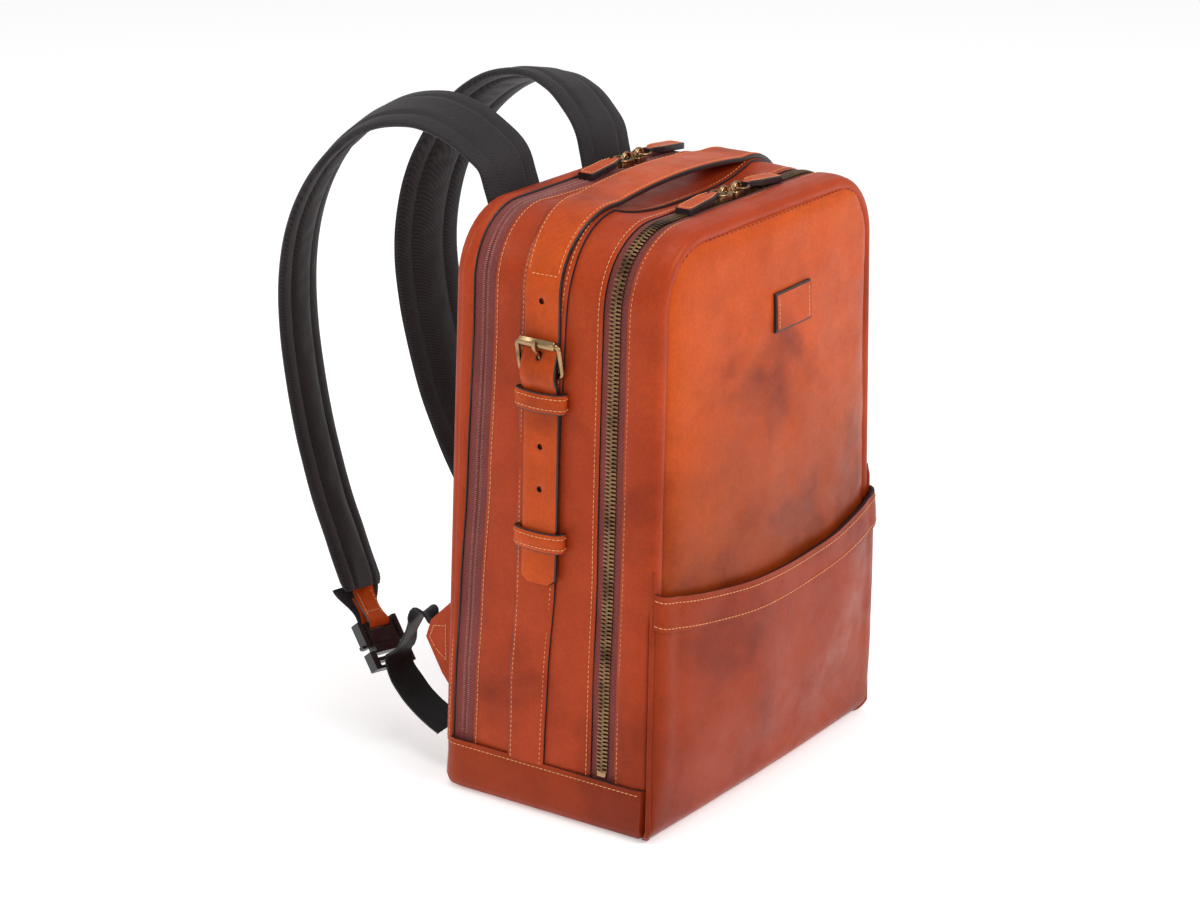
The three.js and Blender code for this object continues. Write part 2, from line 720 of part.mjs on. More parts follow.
function makeShoulderStraps() {
  addPair("pad_root", sweptBand(PAD_ROOT_WAY, PAD.width, PAD.thick, 4), blackNylon);
  addPair("shoulder_pad", sweptBand(PAD_WAY, PAD.width, PAD.thick, 40), blackNylon);

  const { width, length, thick } = SOCKET;
  const slot = slab(width - 6, 4, thick + 2, 0, length / 2 - 4.5);
  const mouth = slab(14, 10, 4, 0, -length / 2 + 2);
  const wells = [-1, 1].map((side) => slab(10, 6, 5, (side * width) / 2, 0));
  addPair("buckle_socket", onStrap(cut(slab(width, length, thick, 0, 0), slot, mouth, ...wells)), blackMetal);
  for (const [name, side] of [
    ["outer", -1],
    ["inner", 1],
  ]) {
    const near = width / 2 + LEVER.travel + GAP;
    const bar = slab(LEVER.width, LEVER.length, LEVER.thick, side * (near + LEVER.width / 2), 0);
    const stem = slab(LEVER.stem, 5, 4, side * (near + 1 - LEVER.stem / 2), 0);
    const hook = slab(4, 2.4, 4, side * (near + LEVER.width + 1), -LEVER.length / 2 + 1.2);
    addPair(`${name}_lever`, onStrap(join(bar, stem, hook)), blackMetal);
  }
  const gapY = -length / 2 - GAP;
  const tongue = slab(12, 7, 3, 0, gapY + 2.6);
  const neck = slab(ADJUSTER.neckWidth, ADJUSTER.neck + 1, ADJUSTER.thick, 0, gapY - (ADJUSTER.neck + 1) / 2);
  const tall = ADJUSTER.length - ADJUSTER.neck;
  const slide = slab(ADJUSTER.width, tall, ADJUSTER.thick, 0, gapY - ADJUSTER.neck - tall / 2);
  const slits = [8.7, 15].map((down) => slab(27, ADJUSTER.slit, ADJUSTER.thick + 2, 0, gapY - down));
  addPair("strap_adjuster", onStrap(join(cut(slide, ...slits), neck, tongue)), blackMetal);

  // Leather tab from the foot of the pad to the socket's slot.
  const tab = slab(TAB.width, TAB.length, TAB.thick, 0, length / 2 + 1 + TAB.length / 2);
  addPair("strap_tab", onStrap(tab), cognac);

  addPair("strap_webbing", sweptBand(WEBBING_WAY, WEBBING_WIDTH, 1.8, 36, 0.6), blackNylon);
  addPair("anchor_wing", wingGeometry(), cognac);
}

const WEBBING_WIDTH = 25;

// From the tip of the wing up and over to the adjuster, and from there down behind the bag.
const WEBBING_WAY = [
  [-126, 115, 112],
  [-122.5, 119.5, 116],
  [-118, 126, 114.5],
  [-114, 133.5, 107.5],
  [-110, 142.5, 95.5],
  [-106, 152, 82.5],
  [-103, 156.5, 76],
  [-100.5, 156, 71],
  [-99.5, 153, 63],
  [-101, 149.5, 55],
  [-104.5, 147, 49],
  [-107, 141.5, 43],
  [-110, 129, 38],
  [-112.5, 116, 34],
  [-114, 106, 31],
];

function wingGeometry() {
  // Drawn in depth and height, then stood beside the back edge of the left wall.
  const plan = new THREE.Shape([
    new THREE.Vector2(0, 62),
    new THREE.Vector2(25, 104),
    new THREE.Vector2(20, 118),
    new THREE.Vector2(0, 138),
  ]);
  const wing = new THREE.ExtrudeGeometry(plan, { depth: 5, bevelEnabled: false });
  // X becomes Y, Y becomes Z and the thickness becomes X.
  wing.applyMatrix4(new THREE.Matrix4().set(0, 0, 1, 0, 1, 0, 0, 0, 0, 1, 0, 0, 0, 0, 0, 1));
  return wing.translate(-132, BACK_PANEL[1] + GAP, 0);
}

makeBase();
makeMiddle();
makeFrontFlap();
makeBackFlap();
makeZip("front_zip", FRONT_ZIP_Y, true);
makeZip("rear_zip", REAR_ZIP_Y, false);
makeSliders("front", FRONT_ZIP_Y, FRONT_SLIDERS_X);
makeSliders("rear", REAR_ZIP_Y, REAR_SLIDERS_X);
makeHandle();
makeBillets();
makeKeepers();
makeBuckles();
makeShoulderStraps();

export default bag;
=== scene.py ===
# Looks for the leather backpack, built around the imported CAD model.
# Shapes are worked out in millimetres and scaled to metres when a mesh is made.
import json
import math

import bmesh
import bpy
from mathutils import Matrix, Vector, noise
from mathutils.kdtree import KDTree
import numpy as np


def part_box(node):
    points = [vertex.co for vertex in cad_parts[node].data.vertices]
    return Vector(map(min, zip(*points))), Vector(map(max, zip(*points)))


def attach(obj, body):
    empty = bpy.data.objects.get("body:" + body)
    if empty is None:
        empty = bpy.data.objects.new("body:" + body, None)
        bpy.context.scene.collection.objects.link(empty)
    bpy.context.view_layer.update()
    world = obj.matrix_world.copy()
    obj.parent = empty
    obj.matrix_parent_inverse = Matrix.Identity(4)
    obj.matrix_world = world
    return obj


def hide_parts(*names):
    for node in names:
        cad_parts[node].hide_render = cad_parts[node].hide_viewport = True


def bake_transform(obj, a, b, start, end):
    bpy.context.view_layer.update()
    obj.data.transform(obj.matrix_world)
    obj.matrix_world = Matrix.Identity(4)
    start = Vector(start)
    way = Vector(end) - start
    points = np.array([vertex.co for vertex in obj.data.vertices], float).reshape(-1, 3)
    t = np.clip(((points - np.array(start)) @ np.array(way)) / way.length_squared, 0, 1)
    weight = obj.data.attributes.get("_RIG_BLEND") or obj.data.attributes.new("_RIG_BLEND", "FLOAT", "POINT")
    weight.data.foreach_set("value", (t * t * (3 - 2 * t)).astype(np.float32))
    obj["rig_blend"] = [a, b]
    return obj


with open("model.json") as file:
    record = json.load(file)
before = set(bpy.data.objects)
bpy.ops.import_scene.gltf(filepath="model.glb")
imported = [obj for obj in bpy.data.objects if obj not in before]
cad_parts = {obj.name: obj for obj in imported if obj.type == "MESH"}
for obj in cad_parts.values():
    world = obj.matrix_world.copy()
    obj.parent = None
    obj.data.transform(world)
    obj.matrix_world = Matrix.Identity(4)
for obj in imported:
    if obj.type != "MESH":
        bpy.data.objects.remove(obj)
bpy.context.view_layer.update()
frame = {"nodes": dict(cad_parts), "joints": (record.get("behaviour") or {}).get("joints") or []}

MM = 0.001
PADDING_PRESSURE = 22.0
PADDING_FRAMES = 20
SEAM_REACH = 0.02  # how near a point is to a seam when it counts as sewn
SIDES = {"left": -1, "right": 1}
JOINTS = {joint["name"]: joint for joint in frame["joints"]}

# The bag's outline, as in the CAD model
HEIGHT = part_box("front_panel")[1].z / MM
FOLD_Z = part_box("front_panel")[0].z / MM  # where both flaps fold, on top of the base band
BASE_WIDTH = 290
TOP_WIDTH = 268
CORNER_R = 50
SHOULDER = HEIGHT - CORNER_R
TOP_FLAT = TOP_WIDTH / 2 - CORNER_R
CORNER_ARC = CORNER_R * math.pi / 2
FRONT = -86
BASE_DEPTH = 172
TOP_DEPTH = 162
STRAP_Y = 3
SAG = 11  # how far the top leather sinks under the handle
FOOT_D = TOP_FLAT + CORNER_ARC + SHOULDER - FOLD_Z  # path distance from the top's middle to the fold

# Depth of each line along the arch: (path distance from the middle of the top, y)
FRONT_ZIP = [(0, -54.9), (100, -54.9), (139, -53), (171, -51.5), (275, -50.5), (355, -50)]
FRONT_ZIP += [(425, -48.3), (500, -47.5)]
REAR_ZIP = [(0, 55.3), (100, 55.3), (155, 55), (190, 55.6), (300, 60.5), (385, 66), (450, 70), (500, 71.5)]
STRAP_REAR = [(0, 23), (160, 22.5), (225, 23.5), (325, 24.5), (375, 25), (440, 29.5), (500, 30)]
STRAP_FRONT = [(0, -17), (140, -17), (178, -14), (287, -9.5), (365, -8), (430, -3), (474, -1), (500, -0.5)]
FRONT_GAP = 9.5  # half the opening that shows the front zip
REAR_GAP = 8.5


# --- Small tools ---


def lerp(a, b, share):
    return a + (b - a) * share


def clamp(value, low=0.0, high=1.0):
    return min(max(value, low), high)


def smooth(value):
    value = clamp(value)
    return value * value * (3 - 2 * value)


def table(pairs, at):
    """Smoothed reading of a list of (place, value) pairs."""
    for (a, va), (b, vb) in zip(pairs, pairs[1:]):
        if at <= b:
            return lerp(va, vb, smooth((at - a) / (b - a)) * 0.5 + 0.5 * clamp((at - a) / (b - a)))
    return pairs[-1][1]


def wobble(x, y, z, size, amount):
    """Slow unevenness of hand-made leather: size is the length of a wave."""
    return noise.noise(Vector((x / size, y / size, z / size))) * amount


def half_width(z):
    return BASE_WIDTH / 2 - (BASE_WIDTH - TOP_WIDTH) / 2 * clamp(z / SHOULDER)


def outline_width(z):
    """Half the width of the arch at a height, corners included."""
    if z <= SHOULDER:
        return half_width(z)
    return TOP_FLAT + math.sqrt(max(CORNER_R**2 - (z - SHOULDER) ** 2, 0))


def lean(y, z):
    return FRONT + (y - FRONT) * (1 - (1 - TOP_DEPTH / BASE_DEPTH) * z / HEIGHT)


def sag(x, y):
    along = clamp(abs(x) / TOP_FLAT)
    return SAG * (1 - along**3) * smooth(1.35 - abs(y - 3) / 38)


def arch_at(d):
    """Point and outward normal of the arch at a path distance d from the middle of the top."""
    side = math.copysign(1, d)
    run = abs(d)
    if run <= TOP_FLAT:
        return d, HEIGHT, 0.0, 1.0
    if run <= TOP_FLAT + CORNER_ARC:
        turn = (run - TOP_FLAT) / CORNER_R
        nx, nz = side * math.sin(turn), math.cos(turn)
        return side * TOP_FLAT + CORNER_R * nx, SHOULDER + CORNER_R * nz, nx, nz
    z = SHOULDER - (run - TOP_FLAT - CORNER_ARC)
    return side * half_width(z), z, side, 0.0


def on_arch(d, y, out=0.0):
    x, z, nx, nz = arch_at(d)
    drop = sag(x, y) * max(nz, 0) if abs(d) < TOP_FLAT else 0
    return Vector((x + nx * out, y, z + nz * out - drop))


def arch_normal(d):
    _, _, nx, nz = arch_at(d)
    return Vector((nx, 0, nz))


def arch_steps(low=-FOOT_D, high=FOOT_D, step=7.0):
    count = max(2, round((high - low) / step))
    return [lerp(low, high, i / count) for i in range(count + 1)]


def spline(points, steps):
    """Points on a Catmull-Rom curve through the given ones."""
    points = [Vector(p) for p in points]
    ends = [points[0] * 2 - points[1], *points, points[-1] * 2 - points[-2]]
    lengths = [(b - a).length for a, b in zip(points, points[1:])]
    made = []
    for i in range(steps + 1):
        at = i / steps * sum(lengths)
        k = 0
        while k < len(lengths) - 1 and at > lengths[k]:
            at -= lengths[k]
            k += 1
        t = clamp(at / lengths[k])
        a, b, c, e = ends[k : k + 4]
        bent = 2 * b + (c - a) * t + (2 * a - 5 * b + 4 * c - e) * t**2 + (3 * b - a - 3 * c + e) * t**3
        made.append(0.5 * bent)
    return made


def tangents(path, closed=False):
    count = len(path)
    made = []
    for i in range(count):
        before = path[(i - 1) % count] if closed else path[max(i - 1, 0)]
        after = path[(i + 1) % count] if closed else path[min(i + 1, count - 1)]
        made.append((after - before).normalized())
    return made


def carried(path, first, closed=False):
    """A width direction carried along a path without twisting, starting near first."""
    across = Vector(first)
    made = []
    for tangent in tangents(path, closed):
        across = (across - tangent * across.dot(tangent)).normalized()
        made.append(across.copy())
    return made


# --- Meshes ---


def mesh_piece(name, vertices, faces, materials, slots=None, sharp=35):
    mesh = bpy.data.meshes.new(name)
    mesh.from_pydata([tuple(c * MM for c in v) for v in vertices], [], faces)
    for material in materials:
        mesh.materials.append(material)
    if slots:
        mesh.polygons.foreach_set("material_index", slots)
    tidy = bmesh.new()
    tidy.from_mesh(mesh)
    bmesh.ops.remove_doubles(tidy, verts=tidy.verts, dist=1e-6)
    bmesh.ops.recalc_face_normals(tidy, faces=tidy.faces)
    tidy.to_mesh(mesh)
    tidy.free()
    mesh.polygons.foreach_set("use_smooth", [True] * len(mesh.polygons))
    mesh.set_sharp_from_angle(angle=math.radians(sharp))
    piece = bpy.data.objects.new(name, mesh)
    bpy.context.scene.collection.objects.link(piece)
    return piece


def loft(name, rings, materials, slots=None, closed=False, sharp=35):
    """A solid through rings of points. slots gives a material for each segment of a ring."""
    size = len(rings[0])
    vertices = [p for ring in rings for p in ring]
    faces = []
    indices = []
    last = len(rings) if closed else len(rings) - 1
    for i in range(last):
        a, b = i * size, (i + 1) % len(rings) * size
        for j in range(size):
            k = (j + 1) % size
            faces.append((a + j, a + k, b + k, b + j))
            indices.append(slots[j] if slots else 0)
    if not closed:
        faces.append(tuple(range(size)))
        faces.append(tuple(range((len(rings) - 1) * size, len(rings) * size)))
        indices += [slots[0] if slots else 0] * 2
    return mesh_piece(name, vertices, faces, materials, indices, sharp)


def grid_of(rows, columns, point, *rest):
    """Rows of points. point takes the shares of the way across and up, then the rest."""
    return [[point(i / columns, j / rows, *rest) for i in range(columns + 1)] for j in range(rows + 1)]


def panel(name, outer, inner, materials, edge_slot=0, sharp=35):
    """A closed sheet between two grids of points of the same size."""
    rows, columns = len(outer), len(outer[0])
    vertices = [p for grid in (outer, inner) for row in grid for p in row]
    base = rows * columns
    faces = []
    indices = []
    for i in range(rows - 1):
        for j in range(columns - 1):
            a = i * columns + j
            for start in (0, base):
                faces.append(tuple(start + k for k in (a, a + 1, a + columns + 1, a + columns)))
                indices.append(0)
    rim = list(range(columns))
    rim += [i * columns + columns - 1 for i in range(1, rows)]
    rim += [(rows - 1) * columns + j for j in range(columns - 2, -1, -1)]
    rim += [i * columns for i in range(rows - 2, 0, -1)]
    for a, b in zip(rim, rim[1:] + rim[:1]):
        faces.append((a, b, base + b, base + a))
        indices.append(edge_slot)
    return mesh_piece(name, vertices, faces, materials, indices, sharp)


def turns_of(count):
    """Evenly spaced angles once round."""
    return [2 * math.pi * k / count for k in range(count)]


def tube(name, path, radius, materials, closed=False, sides=10, flat=1.0, across=(1, 0, 0), sharp=60):
    """A round bar along a path. radius is a number, or a function of the share of the way."""
    path = [Vector(p) for p in path]
    rings = []
    turns = turns_of(sides)
    ways, widths = tangents(path, closed), carried(path, across, closed)
    for i, (point, way, side) in enumerate(zip(path, ways, widths)):
        up = way.cross(side)
        r = radius(i / (len(path) - 1)) if callable(radius) else radius
        rings.append([point + side * (math.cos(a) * r * flat) + up * (math.sin(a) * r) for a in turns])
    return loft(name, rings, materials, closed=closed, sharp=sharp)


def blocks(name, places, materials, shape):
    """Many copies of one small solid in one mesh. places holds (point, along, up) for each."""
    points, own_faces = shape
    vertices = []
    faces = []
    for point, along, up in places:
        side = up.cross(along)
        start = len(vertices)
        vertices += [point + along * a + side * b + up * c for a, b, c in points]
        faces += [tuple(start + k for k in face) for face in own_faces]
    return mesh_piece(name, vertices, faces, materials, sharp=50)


def prism(rings):
    """The points and faces of a small solid lofted through rings given as (a, b, c) points."""
    size = len(rings[0])
    points = [p for ring in rings for p in ring]
    faces = [
        (i * size + j, i * size + (j + 1) % size, (i + 1) * size + (j + 1) % size, (i + 1) * size + j)
        for i in range(len(rings) - 1)
        for j in range(size)
    ]
    faces += [tuple(range(size)), tuple(range((len(rings) - 1) * size, len(rings) * size))]
    return points, faces


def ellipse_ring(along, rise, wide, tall, sides=6):
    return [(along, wide * math.cos(a), rise + tall * math.sin(a)) for a in turns_of(sides)]


STITCH_PITCH = 3.6
STITCH = prism(
    [
        ellipse_ring(-1.35, -0.35, 0.2, 0.2),
        ellipse_ring(-0.75, 0.08, 0.36, 0.30),
        ellipse_ring(0.75, 0.08, 0.36, 0.30),
        ellipse_ring(1.35, -0.35, 0.2, 0.2),
    ]
)


def walk(path, ups, pitch):
    """Evenly spaced (point, along, up) on a polyline."""
    places = []
    carry = pitch / 2
    for a, b, up_a, up_b in zip(path, path[1:], ups, ups[1:]):
        length = (b - a).length
        if length < 1e-6:
            continue
        along = (b - a) / length
        while carry <= length:
            up = up_a.lerp(up_b, carry / length)
            up = (up - along * up.dot(along)).normalized()
            places.append((a + along * carry, along, up))
            carry += pitch
        carry -= length
    return places


def stitch(name, path, ups, body, material=None, pitch=STITCH_PITCH):
    piece = blocks(name, walk(path, ups, pitch), [material or THREAD], STITCH)
    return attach(piece, body) if body else piece


def finish_piece(piece, body, slot, *nodes):
    """Puts a piece on its body and hides the CAD nodes that it stands for."""
    if nodes:
        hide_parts(*nodes)
    if body:
        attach(piece, body)
    return piece


def baked(piece):
    """The piece with its modifiers applied."""
    bpy.context.view_layer.update()
    evaluated = piece.evaluated_get(bpy.context.evaluated_depsgraph_get())
    mesh = bpy.data.meshes.new_from_object(evaluated)
    piece.modifiers.clear()
    piece.data = mesh
    return piece


def rounded(piece, width, segments=2, angle=35):
    """Bevels a piece's sharp edges, in millimetres."""
    bevel = piece.modifiers.new("edges", "BEVEL")
    bevel.width = width * MM
    bevel.segments = segments
    bevel.limit_method = "ANGLE"
    bevel.angle_limit = math.radians(angle)
    bevel.harden_normals = False
    return piece


def swell(piece, seams, cap):
    """The padding pushes a piece's cloth out between its seams: a cloth simulation, applied at once."""
    tree = KDTree(len(seams))
    for index, point in enumerate(seams):
        tree.insert(point * MM, index)
    tree.balance()
    before = [vertex.co.copy() for vertex in piece.data.vertices]
    held = [k for k, place in enumerate(before) if tree.find(place)[2] < SEAM_REACH * MM]
    group = piece.vertex_groups.new(name="seams")
    group.add(held, 1.0, "REPLACE")
    cloth = piece.modifiers.new("padding", "CLOTH")
    cloth.settings.vertex_group_mass = group.name
    cloth.settings.use_pressure = True
    cloth.settings.uniform_pressure_force = PADDING_PRESSURE
    cloth.settings.effector_weights.gravity = 0
    for number in range(1, PADDING_FRAMES + 1):
        bpy.context.scene.frame_set(number)
    evaluated = piece.evaluated_get(bpy.context.evaluated_depsgraph_get())
    after = [vertex.co.copy() for vertex in evaluated.data.vertices]
    piece.modifiers.remove(cloth)
    piece.vertex_groups.remove(group)
    for vertex, start, end in zip(piece.data.vertices, before, after):
        step = end - start
        vertex.co = start + step * min(1, cap * MM / max(step.length, 1e-9))
    bpy.context.scene.frame_set(1)


# --- Materials ---


class Shader:
    """A material's node tree, with short calls for what the finishes below share."""

    def __init__(self, name, roughness=0.5, metallic=0.0, **sockets):
        self.material = bpy.data.materials.new(name)
        self.material.use_nodes = True
        self.nodes = self.material.node_tree.nodes
        self.links = self.material.node_tree.links
        self.surface = self.nodes["Principled BSDF"]
        self.surface.inputs["Roughness"].default_value = roughness
        self.surface.inputs["Metallic"].default_value = metallic
        for socket, value in sockets.items():
            self.surface.inputs[socket.replace("_", " ")].default_value = value
        self.place = self.nodes.new("ShaderNodeTexCoord").outputs["Object"]

    def join(self, value, socket):
        if hasattr(value, "links"):
            self.links.new(value, socket)
        else:
            socket.default_value = value

    def placed(self, kind, vector=None, **values):
        """A node that works on the piece's own coordinates, or on other ones."""
        node = self.nodes.new("ShaderNode" + kind)
        for socket, value in values.items():
            node.inputs[socket].default_value = value
        self.links.new(vector or self.place, node.inputs["Vector"])
        return node

    def stretched(self, scale):
        return self.placed("Mapping", Scale=scale).outputs["Vector"]

    def noise(self, scale, detail=3.0, roughness=0.5, distortion=0.0):
        values = {"Scale": scale, "Detail": detail, "Roughness": roughness, "Distortion": distortion}
        return self.placed("TexNoise", **values).outputs["Fac"]

    def cells(self, scale):
        return self.placed("TexVoronoi", Scale=scale).outputs["Distance"]

    def bands(self, scale, direction="X", vector=None, distortion=0.0):
        node = self.placed("TexWave", vector, Scale=scale, Distortion=distortion)
        node.bands_direction = direction
        return node.outputs["Fac"]

    def height(self):
        node = self.nodes.new("ShaderNodeSeparateXYZ")
        self.links.new(self.place, node.inputs[0])
        return node.outputs["Z"]

    def ramp(self, value, *stops):
        node = self.nodes.new("ShaderNodeValToRGB")
        while len(node.color_ramp.elements) < len(stops):
            node.color_ramp.elements.new(0.5)
        for element, (place, colour) in zip(node.color_ramp.elements, stops):
            element.position = place
            element.color = (*colour, 1) if hasattr(colour, "__len__") else (colour, colour, colour, 1)
        self.links.new(value, node.inputs["Fac"])
        return node.outputs["Color"]

    def mix(self, share, a, b, mode="MIX"):
        node = self.nodes.new("ShaderNodeMix")
        node.data_type = "RGBA"
        node.blend_type = mode
        self.join(share, node.inputs["Factor"])
        for socket, value in ((node.inputs[6], a), (node.inputs[7], b)):
            if hasattr(value, "links"):
                self.links.new(value, socket)
            else:
                socket.default_value = (*value, 1)
        return node.outputs[2]

    def math(self, operation, a, b):
        node = self.nodes.new("ShaderNodeMath")
        node.operation = operation
        self.join(a, node.inputs[0])
        self.join(b, node.inputs[1])
        return node.outputs[0]

    def colour(self, value):
        self.join(value, self.surface.inputs["Base Color"])

    def rough(self, value):
        self.join(value, self.surface.inputs["Roughness"])

    def bump(self, height, distance, strength=1.0, below=None):
        node = self.nodes.new("ShaderNodeBump")
        node.inputs["Strength"].default_value = strength
        node.inputs["Distance"].default_value = distance * MM
        self.links.new(height, node.inputs["Height"])
        if below is not None:
            self.links.new(below, node.inputs["Normal"])
        self.links.new(node.outputs["Normal"], self.surface.inputs["Normal"])
        return node.outputs["Normal"]


LOW_SHADE_HEIGHTS = (0.19, 0.34)  # heights in metres between which the painted shade low down fades out


def leather(name, dark, middle, light, roughness=0.36, low_shade=1.0):
    """Burnished leather: cloudy dye, with painted shade that darkens it low down if asked, fine creases,
    pores and a soft wax gloss.
    """
    made = Shader(name, roughness, Coat_Weight=0.03, Coat_Roughness=0.25, Specular_IOR_Level=0.22)
    made.surface.inputs["Specular Tint"].default_value = (1.0, 0.55, 0.35, 1)
    clouds = made.noise(8.5, 4, 0.55, distortion=0.5)
    dye_and_shade = made.ramp(clouds, (0.36, dark), (0.47, middle), (0.68, light))
    patches = made.ramp(made.noise(34, 5, 0.6), (0.35, dark), (0.60, middle))
    dye_and_shade = made.mix(0.30, dye_and_shade, patches)
    specks = made.ramp(made.noise(420, 2), (0.40, 0.86), (0.60, 1.06))
    # Painted shade: the colour is multiplied darker below the given heights, standing in for the shade low on
    # the bag.
    if low_shade < 1:
        height = made.math("ADD", made.height(), made.math("MULTIPLY", made.noise(14, 4), 0.12))
        low, high = (z + 0.06 for z in LOW_SHADE_HEIGHTS)
        dye_and_shade = made.mix(1.0, dye_and_shade, made.ramp(height, (low, low_shade), (high, 1.0)), "MULTIPLY")
    made.colour(made.mix(0.5, dye_and_shade, specks, "MULTIPLY"))
    made.rough(made.ramp(made.noise(55, 4, 0.6), (0.3, roughness - 0.06), (0.7, roughness + 0.14)))
    creases = made.noise(150, 4, 0.6, distortion=1.2)
    first = made.bump(creases, 0.2, 0.6)
    made.bump(made.cells(1150), 0.05, 0.5, first)
    return made.material


def plain_grain(name, colour, roughness, scale, depth, **sockets):
    """A small part's finish: one colour, slightly uneven, with a fine grain."""
    made = Shader(name, roughness, **sockets)
    shade = made.ramp(made.noise(scale / 6, 3), (0.3, 0.75), (0.7, 1.2))
    made.colour(made.mix(1.0, colour, shade, "MULTIPLY"))
    made.rough(made.ramp(made.noise(scale / 3, 3), (0.3, roughness - 0.08), (0.7, roughness + 0.1)))
    made.bump(made.noise(scale, 3), depth, 0.6)
    return made.material


def woven(name, dark, light, pitch, roughness=0.85, depth=0.15, sheen=0.1):
    """Cloth with a fine diagonal twill; pitch is the spacing of its ribs in millimetres."""
    made = Shader(name, roughness, Sheen_Weight=sheen, Sheen_Roughness=0.5, Specular_IOR_Level=0.2)
    scale = 314 / pitch / 1.7
    ribs = made.bands(scale, "DIAGONAL", distortion=0.4)
    cross = made.bands(scale * 1.6, "DIAGONAL", made.stretched((1, -1, 1)), 0.4)
    weave = made.mix(0.5, ribs, cross, "MULTIPLY")
    tone = made.mix(0.55, weave, made.noise(700, 3))
    shade = made.ramp(made.noise(25, 3), (0.3, 0.82), (0.7, 1.12))
    made.colour(made.mix(1.0, made.ramp(tone, (0.15, dark), (0.7, light)), shade, "MULTIPLY"))
    made.bump(weave, depth, 0.7)
    return made.material


def antique_metal(name, dark, bright, roughness=0.30):
    made = Shader(name, roughness, 1.0)
    stain = made.noise(70, 3, 0.4)
    made.colour(made.ramp(stain, (0.30, dark), (0.55, bright)))
    made.rough(made.ramp(made.noise(260, 3), (0.3, roughness - 0.06), (0.7, roughness + 0.12)))
    made.bump(made.noise(300, 2), 0.010, 0.2)
    return made.material


LEATHER = leather("cognac", (0.24, 0.026, 0.005), (0.48, 0.064, 0.010), (0.57, 0.084, 0.012))
# A shaded copy of the leather: its darker colours hold painted shade, for the sides, the back, the base panel
# and the wings.
LEATHER_SHADED = leather("cognac_shaded", (0.22, 0.022, 0.006), (0.36, 0.040, 0.010), (0.44, 0.056, 0.013))
# A shaded copy for the pocket, piping and base band: darker colours hold painted shade, which darkens further
# towards the bottom.
LEATHER_SHADED_LOW = leather(
    "cognac_shaded_low", (0.24, 0.022, 0.005), (0.38, 0.040, 0.008), (0.46, 0.056, 0.010), low_shade=0.72
)
# A lit copy for the front panel: its brighter colours hold painted light, and painted shade darkens it
# towards the bottom.
LEATHER_FRONT_LIT = leather(
    "cognac_front_lit", (0.24, 0.026, 0.005), (0.50, 0.070, 0.010), (0.60, 0.092, 0.012), low_shade=0.55
)
EDGE = plain_grain("painted_edge", (0.014, 0.008, 0.010), 0.40, 900, 0.06)
SUEDE = plain_grain("flesh_side", (0.20, 0.060, 0.022), 0.85, 1400, 0.12)
THREAD = plain_grain("thread", (0.68, 0.28, 0.11), 0.7, 2500, 0.03)
# Near-black thread for the front panel's seam: painted shade of the seam's groove.
THREAD_SEAM_SHADED = plain_grain("thread_seam_shaded", (0.10, 0.012, 0.004), 0.7, 2500, 0.03)
TAPE = woven("zip_tape", (0.120, 0.022, 0.018), (0.250, 0.056, 0.046), 0.75, 0.8)
COIL = woven("zip_coil", (0.22, 0.070, 0.060), (0.46, 0.20, 0.17), 0.6, 0.7)
BRASS = antique_metal("antique_brass", (0.16, 0.092, 0.045), (0.38, 0.245, 0.125), 0.24)
TEETH = antique_metal("zip_teeth", (0.085, 0.050, 0.028), (0.25, 0.155, 0.080), 0.40)
NYLON = woven(
    "nylon_twill", (0.0075, 0.0062, 0.0068), (0.032, 0.026, 0.028), 0.8, 0.62, depth=0.14, sheen=0.06
)
WEBBING = woven("webbing", (0.004, 0.004, 0.004), (0.013, 0.012, 0.013), 0.9, 0.6, depth=0.2, sheen=0.08)
BLACK = plain_grain("black_metal", (0.008, 0.008, 0.009), 0.32, 500, 0.02, Specular_IOR_Level=0.6)
LINING = woven("lining", (0.035, 0.018, 0.011), (0.13, 0.075, 0.045), 0.9, 0.85)


# --- Leather strips along the arch ---


def strip_ring(d, y0, y1, top, thick, crown, columns, edge):
    """One section of a strip: up the first edge, over the face and down the second edge."""
    rough_edge = wobble(d, y0, 3, 60, 0.5)
    y0 += rough_edge
    y1 += rough_edge
    points = [(y0, top - thick), (y0, top - edge), (y0 + edge * 0.3, top - edge * 0.3)]
    for k in range(columns + 1):
        u = k / columns
        y = lerp(y0 + edge, y1 - edge, u)
        points.append((y, top + crown * (1 - (2 * u - 1) ** 4) + wobble(d, y, 9, 45, 0.6)))
    points += [(y1 - edge * 0.3, top - edge * 0.3), (y1, top - edge), (y1, top - thick)]
    points += [(lerp(y1, y0, k / columns), top - thick) for k in range(1, columns)]
    return [on_arch(d, y, out) for y, out in points]


def strip(name, low, high, top, thick, painted, crown=1.0, columns=8, edge=0.9, material=None):
    """A leather strip round the arch. low and high give its edges, painted says which are painted."""
    rings = [strip_ring(d, low(d), high(d), top, thick, crown, columns, edge) for d in arch_steps()]
    last = columns + 5  # the last point of the second edge
    slots = [0] * len(rings[0])
    for j in range(len(slots)):
        if j < 2 and painted[0] or last - 2 <= j < last and painted[1]:
            slots[j] = 1
        if j >= last:
            slots[j] = 2
    return loft(name, rings, [material or LEATHER_SHADED, EDGE, SUEDE], slots)


def line(pairs, offset=0.0):
    return lambda d: table(pairs, abs(d)) + offset


def arch_stitch(name, at, body, out):
    fine = arch_steps(step=3)
    path = [on_arch(d, at(d) + wobble(d, at(d), 3, 60, 0.5), out) for d in fine]
    return stitch(name, path, [arch_normal(d) for d in fine], body)


SKIN_TOP = 0.0  # the gussets' faces lie on the outline
SKIN = 2.4


